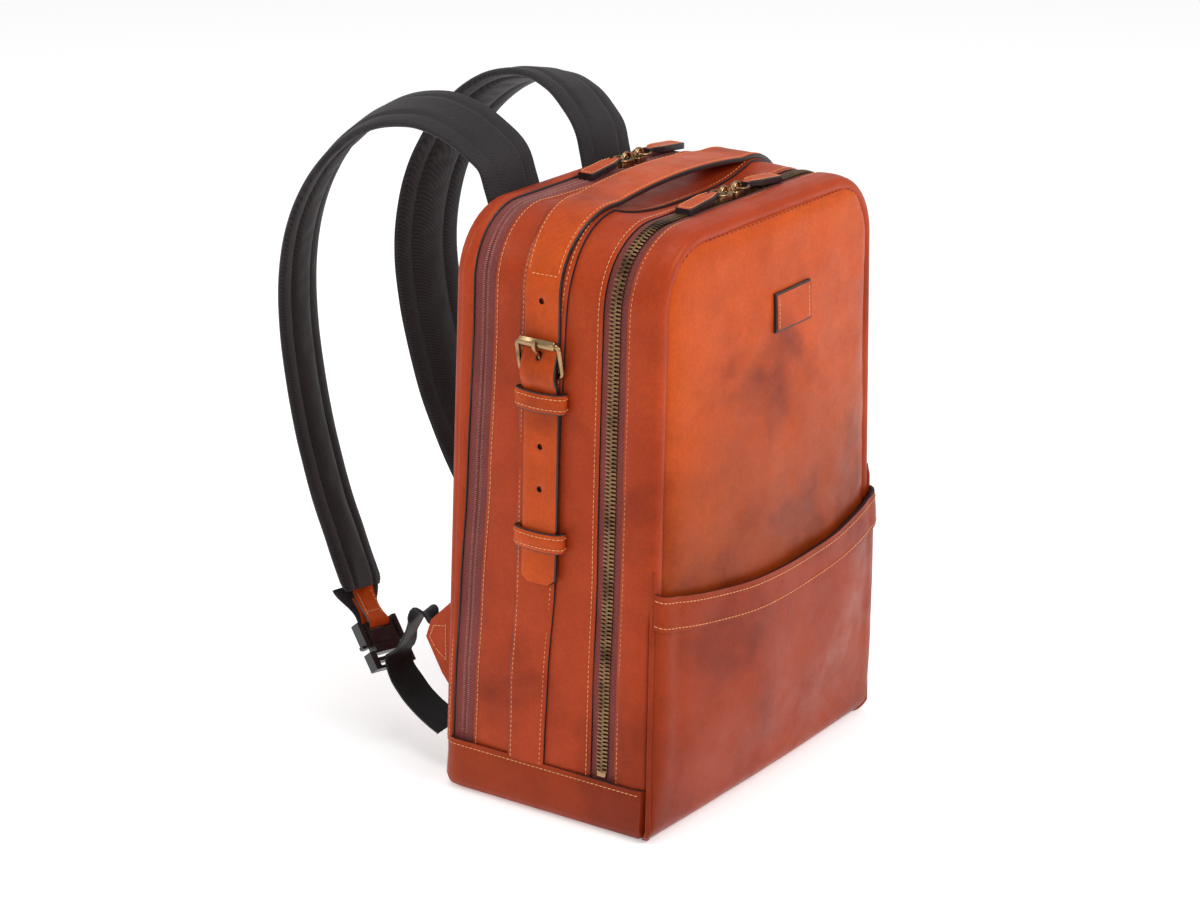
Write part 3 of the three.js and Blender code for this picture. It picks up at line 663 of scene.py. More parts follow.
def make_middle_gusset():
    low, high = line(FRONT_ZIP, FRONT_GAP), line(REAR_ZIP, -REAR_GAP)
    piece = strip("middle_gusset_leather", low, high, SKIN_TOP, SKIN, (True, False), 1.4, 16)
    finish_piece(piece, "bag", "cognac_leather", "middle_gusset")
    arch_stitch("middle_stitch_front", line(FRONT_ZIP, FRONT_GAP + 3.4), "bag", SKIN_TOP + 0.5)
    arch_stitch("middle_stitch_rear", line(REAR_ZIP, -REAR_GAP - 3.0), "bag", SKIN_TOP + 0.5)


def make_base_strap():
    top = 3.4
    low, high = line(STRAP_FRONT), line(STRAP_REAR)
    piece = strip("base_strap", low, high, top, 2.1, (True, True), 0.3, 8, 0.6)
    finish_piece(piece, "bag", "cognac_leather", "center_strap")
    arch_stitch("base_strap_stitch_front", line(STRAP_FRONT, 3.2), "bag", top + 0.05)
    arch_stitch("base_strap_stitch_rear", line(STRAP_REAR, -2.6), "bag", top + 0.05)


PIPING_TOP = 197
ROLL = 6.0  # radius of the leather's turn from the side to the front or the back


def rolled_ring(d, edge_y, corner_y, towards):
    """A section that starts at the zip, runs to the corner and rolls over it to a seam."""
    outer = []
    flat_end = corner_y - towards * ROLL * 0.8
    edge_y += wobble(d, edge_y, 3, 60, 0.5)
    outer.append((edge_y, SKIN_TOP - 0.9))
    outer.append((edge_y + towards * 0.3, SKIN_TOP - 0.3))
    for k in range(9):
        u = k / 8
        y = lerp(edge_y + towards * 0.9, flat_end, u)
        outer.append((y, SKIN_TOP + 1.2 * (1 - (2 * u - 1) ** 4) + wobble(d, y, 9, 45, 0.5)))
    for k in range(1, 9):
        turn = k / 8 * math.pi * 0.75
        out = SKIN_TOP - ROLL * (1 - math.cos(turn)) + 0.6 * math.sin(turn)
        outer.append((flat_end + towards * ROLL * math.sin(turn), out))
    inner = [(y - towards * SKIN * 0.45, out - SKIN * 0.8) for y, out in reversed(outer[3:])]
    inner.append((edge_y, SKIN_TOP - SKIN))
    return [on_arch(d, y, out) for y, out in outer + inner]


def make_rolled(node, body, edge, corner, towards, painted, stitched):
    name = f"{node}_leather"
    rings = [rolled_ring(d, edge(d), corner(d), towards) for d in arch_steps()]
    outside = 19  # the points on the face and the roll
    slots = [0 if j < outside else 2 for j in range(len(rings[0]))]
    if painted:
        slots[0] = slots[1] = slots[-1] = 1
    piece = loft(name, rings, [LEATHER_SHADED, EDGE, SUEDE], slots)
    finish_piece(piece, body, "cognac_leather", node)
    arch_stitch(name + "_stitch", stitched, body, SKIN_TOP + 0.45)


def front_corner(d):
    """The gusset's front corner, which draws back where the piping starts beside it."""
    _, z, _, _ = arch_at(d)
    return FRONT - 1.5 + 4.4 * smooth((PIPING_TOP - 22 - z) / 14)


def back_corner(d):
    _, z, _, _ = arch_at(d)
    return lean(88, z)


def make_gussets():
    edge, stitched = line(FRONT_ZIP, -FRONT_GAP), line(FRONT_ZIP, -FRONT_GAP - 3.0)
    make_rolled("front_gusset", "front_flap", edge, front_corner, -1, False, stitched)
    edge, stitched = line(REAR_ZIP, REAR_GAP), line(REAR_ZIP, REAR_GAP + 3.6)
    make_rolled("back_gusset", "back_flap", edge, back_corner, 1, True, stitched)


# --- Zips ---

TAPE_OUT = -1.7
TOOTH_PITCH = 2.9
TOOTH = prism(
    [
        [(-0.75, -4.4, 0), (0.75, -4.4, 0), (0.75, -4.4, 1.5), (-0.75, -4.4, 1.5)],
        [(-0.8, -0.6, 0), (0.8, -0.6, 0), (0.65, -0.6, 2.1), (-0.65, -0.6, 2.1)],
        [(-0.55, 0.9, 0), (0.55, 0.9, 0), (0.4, 0.9, 1.8), (-0.4, 0.9, 1.8)],
    ]
)
COIL_PITCH = 1.5
COIL_RINGS = ((-0.9, -0.1, 0.4, 0.35), (0, 0.45, 0.5, 0.45), (0.9, -0.1, 0.4, 0.35))
COIL_LOOP = prism([ellipse_ring(*ring) for ring in COIL_RINGS])


def make_tape(name, body, pairs, side, gap, node):
    low, high = line(pairs, 0.05), line(pairs, gap + 4)
    if side < 0:
        low, high = line(pairs, -gap - 4), line(pairs, -0.05)
    piece = strip(name, low, high, TAPE_OUT, 0.9, (False, False), 0.25, 6, 0.3, TAPE)
    for index in range(3):
        piece.data.materials[index] = TAPE
    return finish_piece(piece, body, "zip_tape", node)


def zip_places(at, out, pitch):
    """Evenly spaced places along a zip, short of its ends."""
    fine = arch_steps(-FOOT_D + 6, FOOT_D - 6, 3)
    path = [on_arch(d, at(d), out) for d in fine]
    return walk(path, [arch_normal(d) for d in fine], pitch)


def make_teeth(name, body, side, node):
    places = zip_places(line(FRONT_ZIP), TAPE_OUT + 0.2, TOOTH_PITCH)
    if side > 0:
        places = [(point + along * (TOOTH_PITCH / 2), -along, up) for point, along, up in places]
    piece = blocks(name, places, [TEETH], TOOTH)
    return finish_piece(piece, body, "antique_brass", node)


def make_coil(name, body, side):
    """The ridges that a covered coil shows through its tape."""
    places = zip_places(line(REAR_ZIP, side * 1.9), TAPE_OUT + 0.1, COIL_PITCH)
    places = [(point, up.cross(along), up) for point, along, up in places]
    piece = blocks(name, places, [COIL], COIL_LOOP)
    return finish_piece(piece, body, "zip_tape")


def make_zips():
    make_tape("front_tape_front", "front_flap", FRONT_ZIP, -1, FRONT_GAP, "front_zip_tape_front")
    make_tape("front_tape_rear", "bag", FRONT_ZIP, 1, FRONT_GAP, "front_zip_tape_rear")
    make_tape("rear_tape_front", "bag", REAR_ZIP, -1, REAR_GAP, "rear_zip_tape_front")
    make_tape("rear_tape_rear", "back_flap", REAR_ZIP, 1, REAR_GAP, "rear_zip_tape_rear")
    make_teeth("front_teeth_front", "front_flap", -1, "front_zip_teeth_front")
    make_teeth("front_teeth_rear", "bag", 1, "front_zip_teeth_rear")
    make_coil("rear_coil_front", "bag", -1)
    make_coil("rear_coil_rear", "back_flap", 1)
    for name, sign in SIDES.items():
        d = sign * (FOOT_D - 5)
        centre = on_arch(d, line(FRONT_ZIP)(d), TAPE_OUT + 1.3)
        stop = bar_box(f"zip_stop_{name}", centre, (2.4, 7.5, 4.5), BRASS, 0.6)
        finish_piece(stop, "bag", "antique_brass")


def bar_box(name, centre, size, material, bevel):
    """A small box with rounded edges, its sizes given along X, Y and Z."""
    x, y, z = (s / 2 for s in size)
    ring = [(-x, -y), (x, -y), (x, y), (-x, y)]
    rings = [[centre + Vector((a, b, level)) for a, b in ring] for level in (-z, z)]
    return baked(rounded(loft(name, rings, [material]), bevel))


# --- Front panel, pocket and patch ---

PANEL_CROWN = 9.0
PANEL_TUCK = 6.0
PANEL_INSET = 7.6  # the seam's distance in from the outline
POCKET_SIDE_Z = 182
POCKET_DIP = 17
POCKET_TILT = 1.5  # the mouth's right end is lower than its left end by twice this
POCKET_BAND = 24


def panel_face(x, z):
    """The front panel's face: crowned, rolled in at its seam, a little uneven."""
    width = outline_width(z) - PANEL_INSET
    inwards = max(min(width - abs(x), (HEIGHT - PANEL_INSET - z) * 1.1), 0)
    edge = 1 - math.exp(-inwards / 4)
    dome = clamp(1 - (x / width) ** 2) * clamp(1 - ((z - 190) / 236) ** 4)
    bumps = wobble(x, 0, z, 95, 2.6) + wobble(x, 7, z, 42, 0.9)
    puckers = wobble(x, 1, z, 13, 0.9) * math.exp(-inwards / 12)
    return FRONT + 1.6 - 5.4 * edge - PANEL_CROWN * dome**0.8 - (bumps + puckers) * edge


def panel_rows(inset):
    """Heights of the rows of a panel, closer together round the corners."""
    rows = [lerp(FOLD_Z, SHOULDER, j / 45) for j in range(45)]
    return rows + [SHOULDER + (CORNER_R - inset) * math.sin(math.pi / 2 * k / 16) for k in range(17)]


def panel_width(z, inset):
    if z < SHOULDER:
        return half_width(z) - inset
    return TOP_FLAT + math.sqrt(max((CORNER_R - inset) ** 2 - (z - SHOULDER) ** 2, 0))


def panel_columns(width):
    """Places across a panel, closer together at its sides."""
    return [width * math.sin(math.pi / 2 * (-1 + 2 * i / 56)) for i in range(57)]


def make_front_panel():
    outer = []
    for z in panel_rows(PANEL_INSET):
        width = panel_width(z, PANEL_INSET)
        tuck = PANEL_TUCK * (1 - smooth((z - FOLD_Z) / 70))  # the foot stays clear of the pocket
        outer.append([Vector((x, panel_face(x, z) + tuck, z)) for x in panel_columns(width)])
    inner = [[p + Vector((0, 2.4, 0)) for p in row] for row in outer]
    piece = panel("front_panel_leather", outer, inner, [LEATHER_FRONT_LIT, SUEDE])
    finish_piece(piece, "front_flap", "cognac_leather", "front_panel")
    path = []
    for p in [row[0] for row in outer] + outer[-1] + [row[-1] for row in reversed(outer)]:
        x, z = p.x * 0.988, min(p.z, HEIGHT - PANEL_INSET - 1.6)
        path.append(Vector((x, panel_face(x, z) - 0.1, z)))
    # The seam's thread is darkened as painted shade of its groove.
    stitch("front_seam_thread", path, [Vector((0, -1, 0))] * len(path), "front_flap", THREAD_SEAM_SHADED, 5)


def pocket_top(x):
    share = clamp(x / half_width(POCKET_SIDE_Z), -1, 1)
    return POCKET_SIDE_Z - POCKET_TILT * (1 + share) - POCKET_DIP * (1 - share**2)


POCKET_TURN = 14.0  # radius of the pocket's turn at its sides
POCKET_FLAT = 0.86  # the share of the pocket that is its face


def pocket_point(share, z, lift=0.0):
    """A point on the pocket. share runs from -1 at the left seam to 1 at the right seam."""
    puff = 4.0 * smooth(z / 60) * smooth((215 - z) / 60)
    width = half_width(z) - 1.4 + puff * 0.3
    turn = clamp((abs(share) - POCKET_FLAT) / (1 - POCKET_FLAT)) * math.pi / 2
    x = clamp(abs(share) / POCKET_FLAT) * (width - POCKET_TURN) + (POCKET_TURN + lift) * math.sin(turn)
    x = math.copysign(x, share)
    swell = lerp(0.30, 1.0, smooth(z / 85))
    face = panel_face(clamp(x, -124, 124), max(z, 50)) - 2.4 - puff * 0.6
    seam = FRONT - 2.6
    creases = wobble(x, 3, z, 60, 1.6) * smooth(z / 30)
    depth = (seam - face) * swell + creases + lift
    under = 9 * (1 - clamp(z / 13)) ** 2
    y = seam - depth * math.cos(turn) ** 0.7 + under
    return Vector((x * (1 - 0.03 * (1 - clamp(z / 12)) ** 2), y, z))


SHARES = [math.sin(math.pi / 2 * (-1 + 2 * i / 72)) for i in range(73)]


def pocket_grid(low, high, rows, lift):
    """A grid on the pocket between two heights given as functions of x."""
    grid = []
    for j in range(rows + 1):
        row = []
        for share in SHARES:
            x = share * half_width(POCKET_SIDE_Z)
            row.append(pocket_point(share, lerp(low(x), high(x), j / rows), lift))
        grid.append(row)
    return grid


def mouth(drop):
    """Heights along a line below the pocket's mouth, as a function of x."""
    return lambda x: pocket_top(x) - drop


def make_pocket():
    outer = pocket_grid(lambda x: 0.0, pocket_top, 44, 0.0)
    inner = [[p + Vector((0, 2.0, 0)) for p in row] for row in outer]
    piece = panel("pocket_leather", outer, inner, [LEATHER_SHADED_LOW, EDGE], 1)
    finish_piece(piece, None, "cognac_leather", "front_pocket", "front_foot")
    fold(piece)
    outer, inner = (pocket_grid(mouth(POCKET_BAND), mouth(-1), 8, lift) for lift in (1.7, 0.1))
    piece = panel("pocket_band_leather", outer, inner, [LEATHER_SHADED_LOW, EDGE], 1)
    finish_piece(piece, "front_flap", "cognac_leather", "pocket_band")
    for name, drop in (("upper", 3.2), ("lower", POCKET_BAND - 3.0)):
        row = pocket_grid(mouth(drop), mouth(drop), 1, 1.9)[0]
        ups = []
        for point, share in zip(row, SHARES):
            turned = clamp((abs(share) - POCKET_FLAT) / (1 - POCKET_FLAT))
            ups.append(Vector((0, -1, 0)).lerp(Vector((point.x, 0, 0)).normalized(), turned))
        stitch(f"pocket_stitch_{name}", row, ups, "front_flap")


def fold(piece):
    """The pocket's leather and its piping bend along the fold of the front flap."""
    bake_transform(piece, "bag", "front_flap", (0, FRONT * MM, 0.030), (0, FRONT * MM, 0.048))


PIPING = 2.3  # radius
PIPING_TURN = 7.0


def make_piping():
    """The bead that starts beside the pocket's mouth and turns under the bottom corner."""
    for name, sign in SIDES.items():
        path = []
        for k in range(50):
            z = lerp(PIPING_TOP, PIPING + PIPING_TURN, k / 49)
            path.append(Vector((sign * (half_width(z) - 0.6), FRONT - 0.7, z)))
        corner = path[-1]
        for k in range(1, 9):
            turn = k / 8 * math.pi / 2
            inwards = PIPING_TURN * (1 - math.cos(turn))
            path.append(corner - Vector((sign * inwards, -3.6 * turn, PIPING_TURN * math.sin(turn))))
        path.append(path[-1] - Vector((sign * 9, -6, 0)))
        piece = tube(f"piping_{name}", path, lambda s: PIPING * (0.35 + 0.65 * smooth(s * 24)), [LEATHER_SHADED_LOW])
        fold(piece)


def panel_spot(x, z, lift):
    return Vector((x, panel_face(x, z) - lift, z))


def make_patch():
    """A plain stitched leather patch on a dark backing that shows as its painted edge."""
    low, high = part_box("name_patch")
    x0, x1, z0, z1 = low.x / MM, high.x / MM, low.z / MM, high.z / MM
    layers = (("patch_backing", 2.1, 0.2, 1.2, EDGE), ("patch_leather", 2.5, 1.2, 0.0, LEATHER))
    for name, front, back, grow, material in layers:
        def spot(u, v, lift):
            return panel_spot(lerp(x0 - grow, x1 + grow, u), lerp(z0 - grow, z1 + grow, v), lift)

        outer, inner = (grid_of(8, 14, spot, lift) for lift in (front, back))
        piece = panel(name, outer, inner, [material, EDGE], 1)
        nodes = ["name_patch"] if name == "patch_leather" else []
        finish_piece(piece, "front_flap", "cognac_leather", *nodes)
    for name, x in (("left", x0 + 2.6), ("right", x1 - 2.6)):
        path = [panel_spot(x, lerp(z0 + 1, z1 - 1, k / 12), 2.6) for k in range(13)]
        stitch(f"patch_stitch_{name}", path, [Vector((0, -1, 0))] * 13, "front_flap", pitch=3.1)


# --- Back panel and base ---


BACK_INSET = 5.0


def make_back_panel():
    outer = []
    for z in panel_rows(BACK_INSET):
        width = panel_width(z, BACK_INSET)
        row = []
        for x in panel_columns(width):
            inwards = min(width - abs(x), (HEIGHT - BACK_INSET - z) * 1.1)
            edge = 1 - math.exp(-max(inwards, 0) / 8)
            across, up = (abs(x) - 62) / 3.2, (z - 205) / 3.2
            channel = clamp(math.exp(-across * across) + math.exp(-up * up)) * clamp(inwards / 15)
            padding = 3.6 * edge - 2.9 * channel + wobble(x, 5, z, 60, 0.9)
            row.append(Vector((x, lean(86.4, z) + padding, z)))
        outer.append(row)
    inner = [[p - Vector((0, 3, 0)) for p in row] for row in outer]
    piece = panel("back_panel_leather", outer, inner, [LEATHER_SHADED, SUEDE])
    finish_piece(piece, "back_flap", "cognac_leather", "back_panel")


def plan_ring(offset, z, flare=0.0):
    """The base's outline seen from above, moved outwards by offset. flare spreads it towards the back."""
    front, back, radius = FRONT + 3.2, 87.0, 12.0
    half = BASE_WIDTH / 2
    points = []
    corners = [(half, front, 5, -90), (half, back, radius, 0)]
    corners += [(-half, back, radius, 90), (-half, front, 5, 180)]
    for x, y, r, start in corners:
        cx, cy = x - math.copysign(r, x), y - math.copysign(r, y)
        for k in range(9):
            turn = math.radians(start + 90 * k / 8)
            px = cx + (r + offset) * math.cos(turn)
            py = cy + (r + offset) * math.sin(turn)
            points.append(Vector((px, py + flare if y > 0 else py, z)))
    return points


def spread(points, spacing=9.0):
    """A closed outline with points added so that no gap is over the spacing."""
    made = []
    for a, b in zip(points, points[1:] + points[:1]):
        count = max(1, math.ceil((b - a).length / spacing))
        made += [a.lerp(b, k / count) for k in range(count)]
    return made


# The base band's section, its outside first: (distance out, height, spread towards the back)
BASE_PROFILE = [(-9, 0, 2), (-4.5, 0.5, 3.6), (-1.2, 3, 4.6), (0.6, 8, 4.4), (1.5, 16, 2.6), (2.0, 26, 1.0)]
BASE_PROFILE += [(2.4, 38.6, 0.4), (2.1, 39.5, 0.4), (1.0, 39.8, 0.4), (0.1, 37, 0), (-0.6, 10, 0)]
BASE_PROFILE += [(-3, 4, 0), (-9, 2.6, 0)]


def make_base():
    columns = [spread(plan_ring(out, z, flare)) for out, z, flare in BASE_PROFILE]
    count = len(spread(plan_ring(0, 0)))
    rings = [[resample(column, i / count) for column in columns] for i in range(count)]
    for ring in rings:
        for point in ring[6:8]:
            point.z += wobble(point.x, point.y, 2, 120, 1.2)
    slots = [0] * 7 + [1] + [2] * (len(BASE_PROFILE) - 8)
    piece = loft("base_band_leather", rings, [LEATHER_SHADED_LOW, EDGE, SUEDE], slots, closed=True)
    finish_piece(piece, "bag", "cognac_leather", "base_band")
    floor = plan_ring(-8.5, 0.2, 2)
    rings = [floor, [p + Vector((0, 0, 2.3)) for p in floor]]
    finish_piece(loft("base_panel_leather", rings, [LEATHER_SHADED]), "bag", "cognac_leather")
    sewn = []
    for k in range(401):
        point = resample(columns[6], k / 400) + Vector((0, 0, -2.6))
        up = Vector((math.copysign(1, point.x), 0, 0)) if abs(point.x) > 138 else Vector((0, 1, 0))
        if point.y > FRONT + 4:
            sewn.append((point + up * 0.25, up))
    sewn.sort(key=lambda pair: math.atan2(pair[0].x, -pair[0].y) % (2 * math.pi))
    stitch("base_band_stitch", [point for point, _ in sewn], [up for _, up in sewn], "bag")


def resample(points, share):
    """The point at a share of the way round a closed outline."""
    lengths = [(b - a).length for a, b in zip(points, points[1:] + points[:1])]
    at = share % 1.0 * sum(lengths)
    for k, length in enumerate(lengths):
        if at <= length:
            return points[k].lerp(points[(k + 1) % len(points)], at / max(length, 1e-9))
        at -= length
    return points[0].copy()


# --- Handle strap, keepers and side buckles ---

STRAP_OUT = 4.9  # middle of the strap above the gusset
STRAP_THICK = 3.6
HANDLE_HALF = 75
HANDLE_WIDTH = 38
BILLET_WIDTH = 29
TAIL_Z = 173
HEEL = (5.7, 321)  # distance out and height of the buckle's heel bar
ROLLER = (10.6, 343)
# How far the strap's middle stands off the wall, with a hump over the heel bar: (height, distance)
BILLET_OUT = [(173, 6.1), (200, 5.4), (240, 4.9), (300, 4.9), (311, 5.3), (314.5, 8.7), (321, 10.3)]
BILLET_OUT += [(327, 9.6), (336, 6.4), (347, 4.9), (372, 4.9)]


def strap_centre(d):
    """Centreline of the handle strap: over the top with a rise, then down the side."""
    x, z, nx, nz = arch_at(d)
    if abs(d) <= HANDLE_HALF:
        rise = 5 * (1 - (x / HANDLE_HALF) ** 2)
        return Vector((x, STRAP_Y, z + STRAP_OUT + rise)), Vector((0, 0, 1))
    out = STRAP_OUT if z > SHOULDER else table(BILLET_OUT, z)
    return Vector((x + nx * out, STRAP_Y, z + nz * out)), Vector((nx, 0, nz))


def strap_half(d):
    share = smooth((abs(d) - HANDLE_HALF) / CORNER_ARC)
    return lerp(HANDLE_WIDTH, BILLET_WIDTH, share) / 2


def make_handle_strap():
    tail = TOP_FLAT + CORNER_ARC + SHOULDER - TAIL_Z
    steps = arch_steps(-tail, tail, 4)
    centres = [strap_centre(d)[0] for d in steps]
    ways = tangents(centres)
    rings = []
    for d, centre, way in zip(steps, centres, ways):
        up = Vector((-way.z, 0, way.x))
        half = strap_half(d)
        near_end = clamp((tail - abs(d)) / 6)
        half -= 5 * (1 - math.sqrt(near_end * (2 - near_end)))
        t = STRAP_THICK / 2
        section = [(-half, -t + 0.9), (-half, t - 0.9), (-half + 0.8, t - 0.1)]
        section += [(lerp(-half + 2, half - 2, k / 6), t + 0.15) for k in range(7)]
        section += [(half - 0.8, t - 0.1), (half, t - 0.9), (half, -t + 0.9)]
        section += [(half - 0.9, -t), (-half + 0.9, -t)]
        rings.append([centre + Vector((0, a, 0)) + up * b for a, b in section])
    count = len(rings[0])
    slots = [1 if j in (0, 1, count - 5, count - 4, count - 3, count - 1) else 0 for j in range(count)]
    piece = loft("handle_strap", rings, [LEATHER, EDGE], slots)
    piece = cut_holes(piece)
    finish_piece(piece, None, "cognac_leather", "handle", "left_billet", "right_billet")
    lift_with_handle(piece)
    free = [d for d in steps if abs(d) <= TOP_FLAT + CORNER_ARC - 16]
    for name, sign in (("front", -1), ("rear", 1)):
        path = []
        ups = []
        for d in arch_steps(free[0], free[-1], 3):
            centre, up = strap_centre(d)
            path.append(centre + Vector((0, sign * (strap_half(d) - 2.8), 0)) + up * (STRAP_THICK / 2 + 0.2))
            ups.append(up)
        line_piece = stitch(f"handle_stitch_{name}", path, ups, None)
        lift_with_handle(line_piece)
    for name, sign in SIDES.items():
        d = sign * (TOP_FLAT + CORNER_ARC - 15)
        centre, up = strap_centre(d)
        half = strap_half(d) - 3
        lift = up * (STRAP_THICK / 2 + 0.2)
        path = [centre + Vector((0, lerp(-half, half, k / 12), 0)) + lift for k in range(13)]
        stitch(f"handle_cross_stitch_{name}", path, [up] * 13, "bag")


def lift_with_handle(piece):
    """The strap follows the handle in the middle of the top and the bag from the corners down."""
    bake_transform(piece, "bag", "handle", (0, 0, 0.40), (0, 0, 0.46))
    weights = piece.data.attributes["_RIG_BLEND"].data
    for vertex, weight in zip(piece.data.vertices, weights):
        on_top = vertex.co.z > 0.40
        weight.value = smooth((0.088 - abs(vertex.co.x)) / 0.060) if on_top else 0.0


# Holes through each billet, the last for the prong: (height, half the width, half the height)
BILLET_HOLES = [(371, 2.1, 2.1), (303, 2.1, 2.1), (270, 2.1, 2.1), (240, 2.1, 2.1), (334.2, 2.2, 3.2)]


def cut_holes(piece):
    """Punched holes down both billets, and the slot that the prong comes through."""
    vertices = []
    faces = []
    for sign in SIDES.values():
        for z, wide, tall in BILLET_HOLES:
            ring = [(STRAP_Y + wide * math.cos(a), z + tall * math.sin(a)) for a in turns_of(20)]
            wall = half_width(z)
            points, own_faces = prism([[(sign * x, *point) for point in ring] for x in (wall - 2, wall + 20)])
            faces += [tuple(len(vertices) + k for k in face) for face in own_faces]
            vertices += points
    cutter = mesh_piece("cutter", vertices, faces, [EDGE])
    cut = piece.modifiers.new("holes", "BOOLEAN")
    cut.object = cutter
    cut.solver = "EXACT"
    cut.material_mode = "TRANSFER"
    piece = baked(piece)
    bpy.data.objects.remove(cutter)
    return piece


def side_wall(name, out, y, z):
    """A point beside the left or the right wall."""
    return Vector((SIDES[name] * (half_width(z) + out), y, z))


# A keeper's way over the billet: (distance along the wall, distance out)
KEEPER_WAY = [(-18.5, 3.4), (-19.6, 5.4), (-18.4, 8.0), (-13, 9.3), (0, 9.9)]
KEEPER_WAY += [(-y, out) for y, out in reversed(KEEPER_WAY[:-1])]


def make_keepers():
    droops = [1.2 * math.sin(math.pi * k / 36) for k in range(37)]
    for side in SIDES:
        for level in ("upper", "lower"):
            low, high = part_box(f"{side}_{level}_keeper")
            z = (low.z + high.z) / 2 / MM
            tall = (high.z - low.z) / 2 / MM
            path = spline([side_wall(side, out, STRAP_Y + y, z) for y, out in KEEPER_WAY], 36)
            outwards = []
            for point, way in zip(path, tangents(path)):
                outwards.append(Vector((way.y, -way.x, 0)) * SIDES[side])
            rings = []
            section = [(-tall, -0.7), (-tall, 0.5), (-tall + 0.7, 1.0), (0, 1.1), (tall - 0.7, 1.0)]
            section += [(tall, 0.5), (tall, -0.7), (tall - 0.7, -1.0), (0, -1), (-tall + 0.7, -1.0)]
            for point, out, droop in zip(path, outwards, droops):
                rings.append([point + Vector((0, 0, a - droop)) + out * b for a, b in section])
            slots = [1, 1, 0, 0, 1, 1, 1, 0, 0, 1]
            piece = loft(f"{side}_{level}_keeper_leather", rings, [LEATHER, EDGE], slots)
            finish_piece(piece, "bag", "cognac_leather", f"{side}_{level}_keeper")
            for row, height in (("low", -tall + 3.2), ("high", tall - 3.2)):
                track = []
                for point, out, droop in zip(path, outwards, droops):
                    track.append(point + out * 1.2 + Vector((0, 0, height - droop)))
                stitch(f"{side}_{level}_keeper_stitch_{row}", track, outwards, "bag", pitch=3.4)


WIRE = 1.75  # radius of the buckle's frame
ROLLER_R = 3.3
BUCKLE_HALF = 17.3  # half the frame's width, and the radius of its corners
BUCKLE_BEND = 3.2
ROLLER_ENDS = ((-14.8, 2.2), (-14.4, 2.9), (-13.9, ROLLER_R), (13.9, ROLLER_R), (14.4, 2.9), (14.8, 2.2))


def make_side_buckles():
    for side, sign in SIDES.items():
        heel = side_wall(side, HEEL[0], STRAP_Y, HEEL[1])
        roller = side_wall(side, ROLLER[0], STRAP_Y, ROLLER[1])
        along = (roller - heel).normalized()
        out = Vector((sign * along.z, 0, -sign * along.x))
        tall = (roller - heel).length
        half, bend = BUCKLE_HALF, BUCKLE_BEND
        corners = [(half, 0), (half, tall), (-half, tall), (-half, 0)]
        path = []
        for k, (y, b) in enumerate(corners):
            start = -math.pi / 2 + k * math.pi / 2
            cy = y - math.copysign(bend, y)
            cb = b + (bend if b == 0 else -bend)
            for step in range(5):
                turn = start + step * math.pi / 8
                across = Vector((0, cy + bend * math.cos(turn), 0))
                path.append(heel + across + along * (cb + bend * math.sin(turn)))
        frame_piece = tube(f"{side}_buckle_wire", path, WIRE, [BRASS], closed=True, sides=12, across=out)
        finish_piece(frame_piece, f"{side}_buckle", "antique_brass", f"{side}_buckle_frame")
        rings = []
        for y, radius in ROLLER_ENDS:
            ring = []
            centre = roller + Vector((0, y, 0))
            for k, turn in enumerate(turns_of(18)):
                r = radius + (0.5 if k == 4 else 0)  # the rolled sheet's seam
                ring.append(centre + out * (r * math.cos(turn)) + along * (r * math.sin(turn)))
            rings.append(ring)
        sleeve = loft(f"{side}_buckle_roller", rings, [BRASS], sharp=50)
        finish_piece(sleeve, f"{side}_buckle", "antique_brass")
        rest = ROLLER_R + 1.5
        way = [
            heel + out + along * 0.5,
            heel - out * 0.3 + along * 7,
            heel + along * 13,
            heel + out * 2.4 + along * 17,
            roller + out * (rest - 0.3) - along * 2,
            roller + out * rest + along * 0.8,
            roller + out * (rest - 1.0) + along * 3.8,
        ]
        prong = tube(f"{side}_prong", spline(way, 24), lambda s: 1.6 - 0.2 * s, [BRASS], across=(0, 1, 0))
        finish_piece(prong, f"{side}_prong", "antique_brass", f"{side}_buckle_prong")


# --- Sliders and pulls ---


def make_slider(zip_name, side):
    sign = SIDES[side]
    hinge = Vector(JOINTS[f"{zip_name}_pull_{side}_hinge"]["pos_m"]) / MM
    middle = hinge + Vector((sign * 1.9, 0, -4.3))
    body = f"{zip_name}_slider_{side}"
    rings = []
    for z, grow in ((-1.6, -0.4), (-1.2, 0), (2.0, 0), (2.7, -0.5), (3.0, -1.4)):
        ring = []
        for turn in turns_of(24):
            x = 7.2 * math.copysign(abs(math.cos(turn)) ** 0.7, math.cos(turn))
            y = 5.4 * math.copysign(abs(math.sin(turn)) ** 0.7, math.sin(turn))
            y *= lerp(0.72, 1.0, smooth((7 - sign * x) / 14)) * (1 - 0.22 * math.exp(-((x / 3.5) ** 2)))
            shrink = (7 + grow) / 7
            ring.append(middle + Vector((x * shrink, y * shrink, z)))
        rings.append(ring)
    slider = loft(body + "_metal", rings, [BRASS])
    finish_piece(slider, body, "antique_brass", body)
    turns = [math.pi * k / 14 for k in range(15)]
    arch = [middle + Vector((5.2 * math.cos(a), 0, 2.4 + 5.6 * math.sin(a))) for a in turns]
    bail = tube(body + "_bail", arch, 1.0, [BRASS], sides=8, flat=1.7, across=(0, 1, 0))
    finish_piece(bail, body, "antique_brass")
    make_pull(zip_name, side, sign, hinge)


def recolour_ends(piece, index):
    """Gives a loft's flat ends another of its materials."""
    for polygon in piece.data.polygons:
        if len(polygon.vertices) > 4:
            polygon.material_index = index


PULL_START, PULL_END = 11.6, 52.0  # distances from the hinge


def pull_droop(x):
    return -3.4 * ((x - PULL_START) / (PULL_END - PULL_START)) ** 1.4


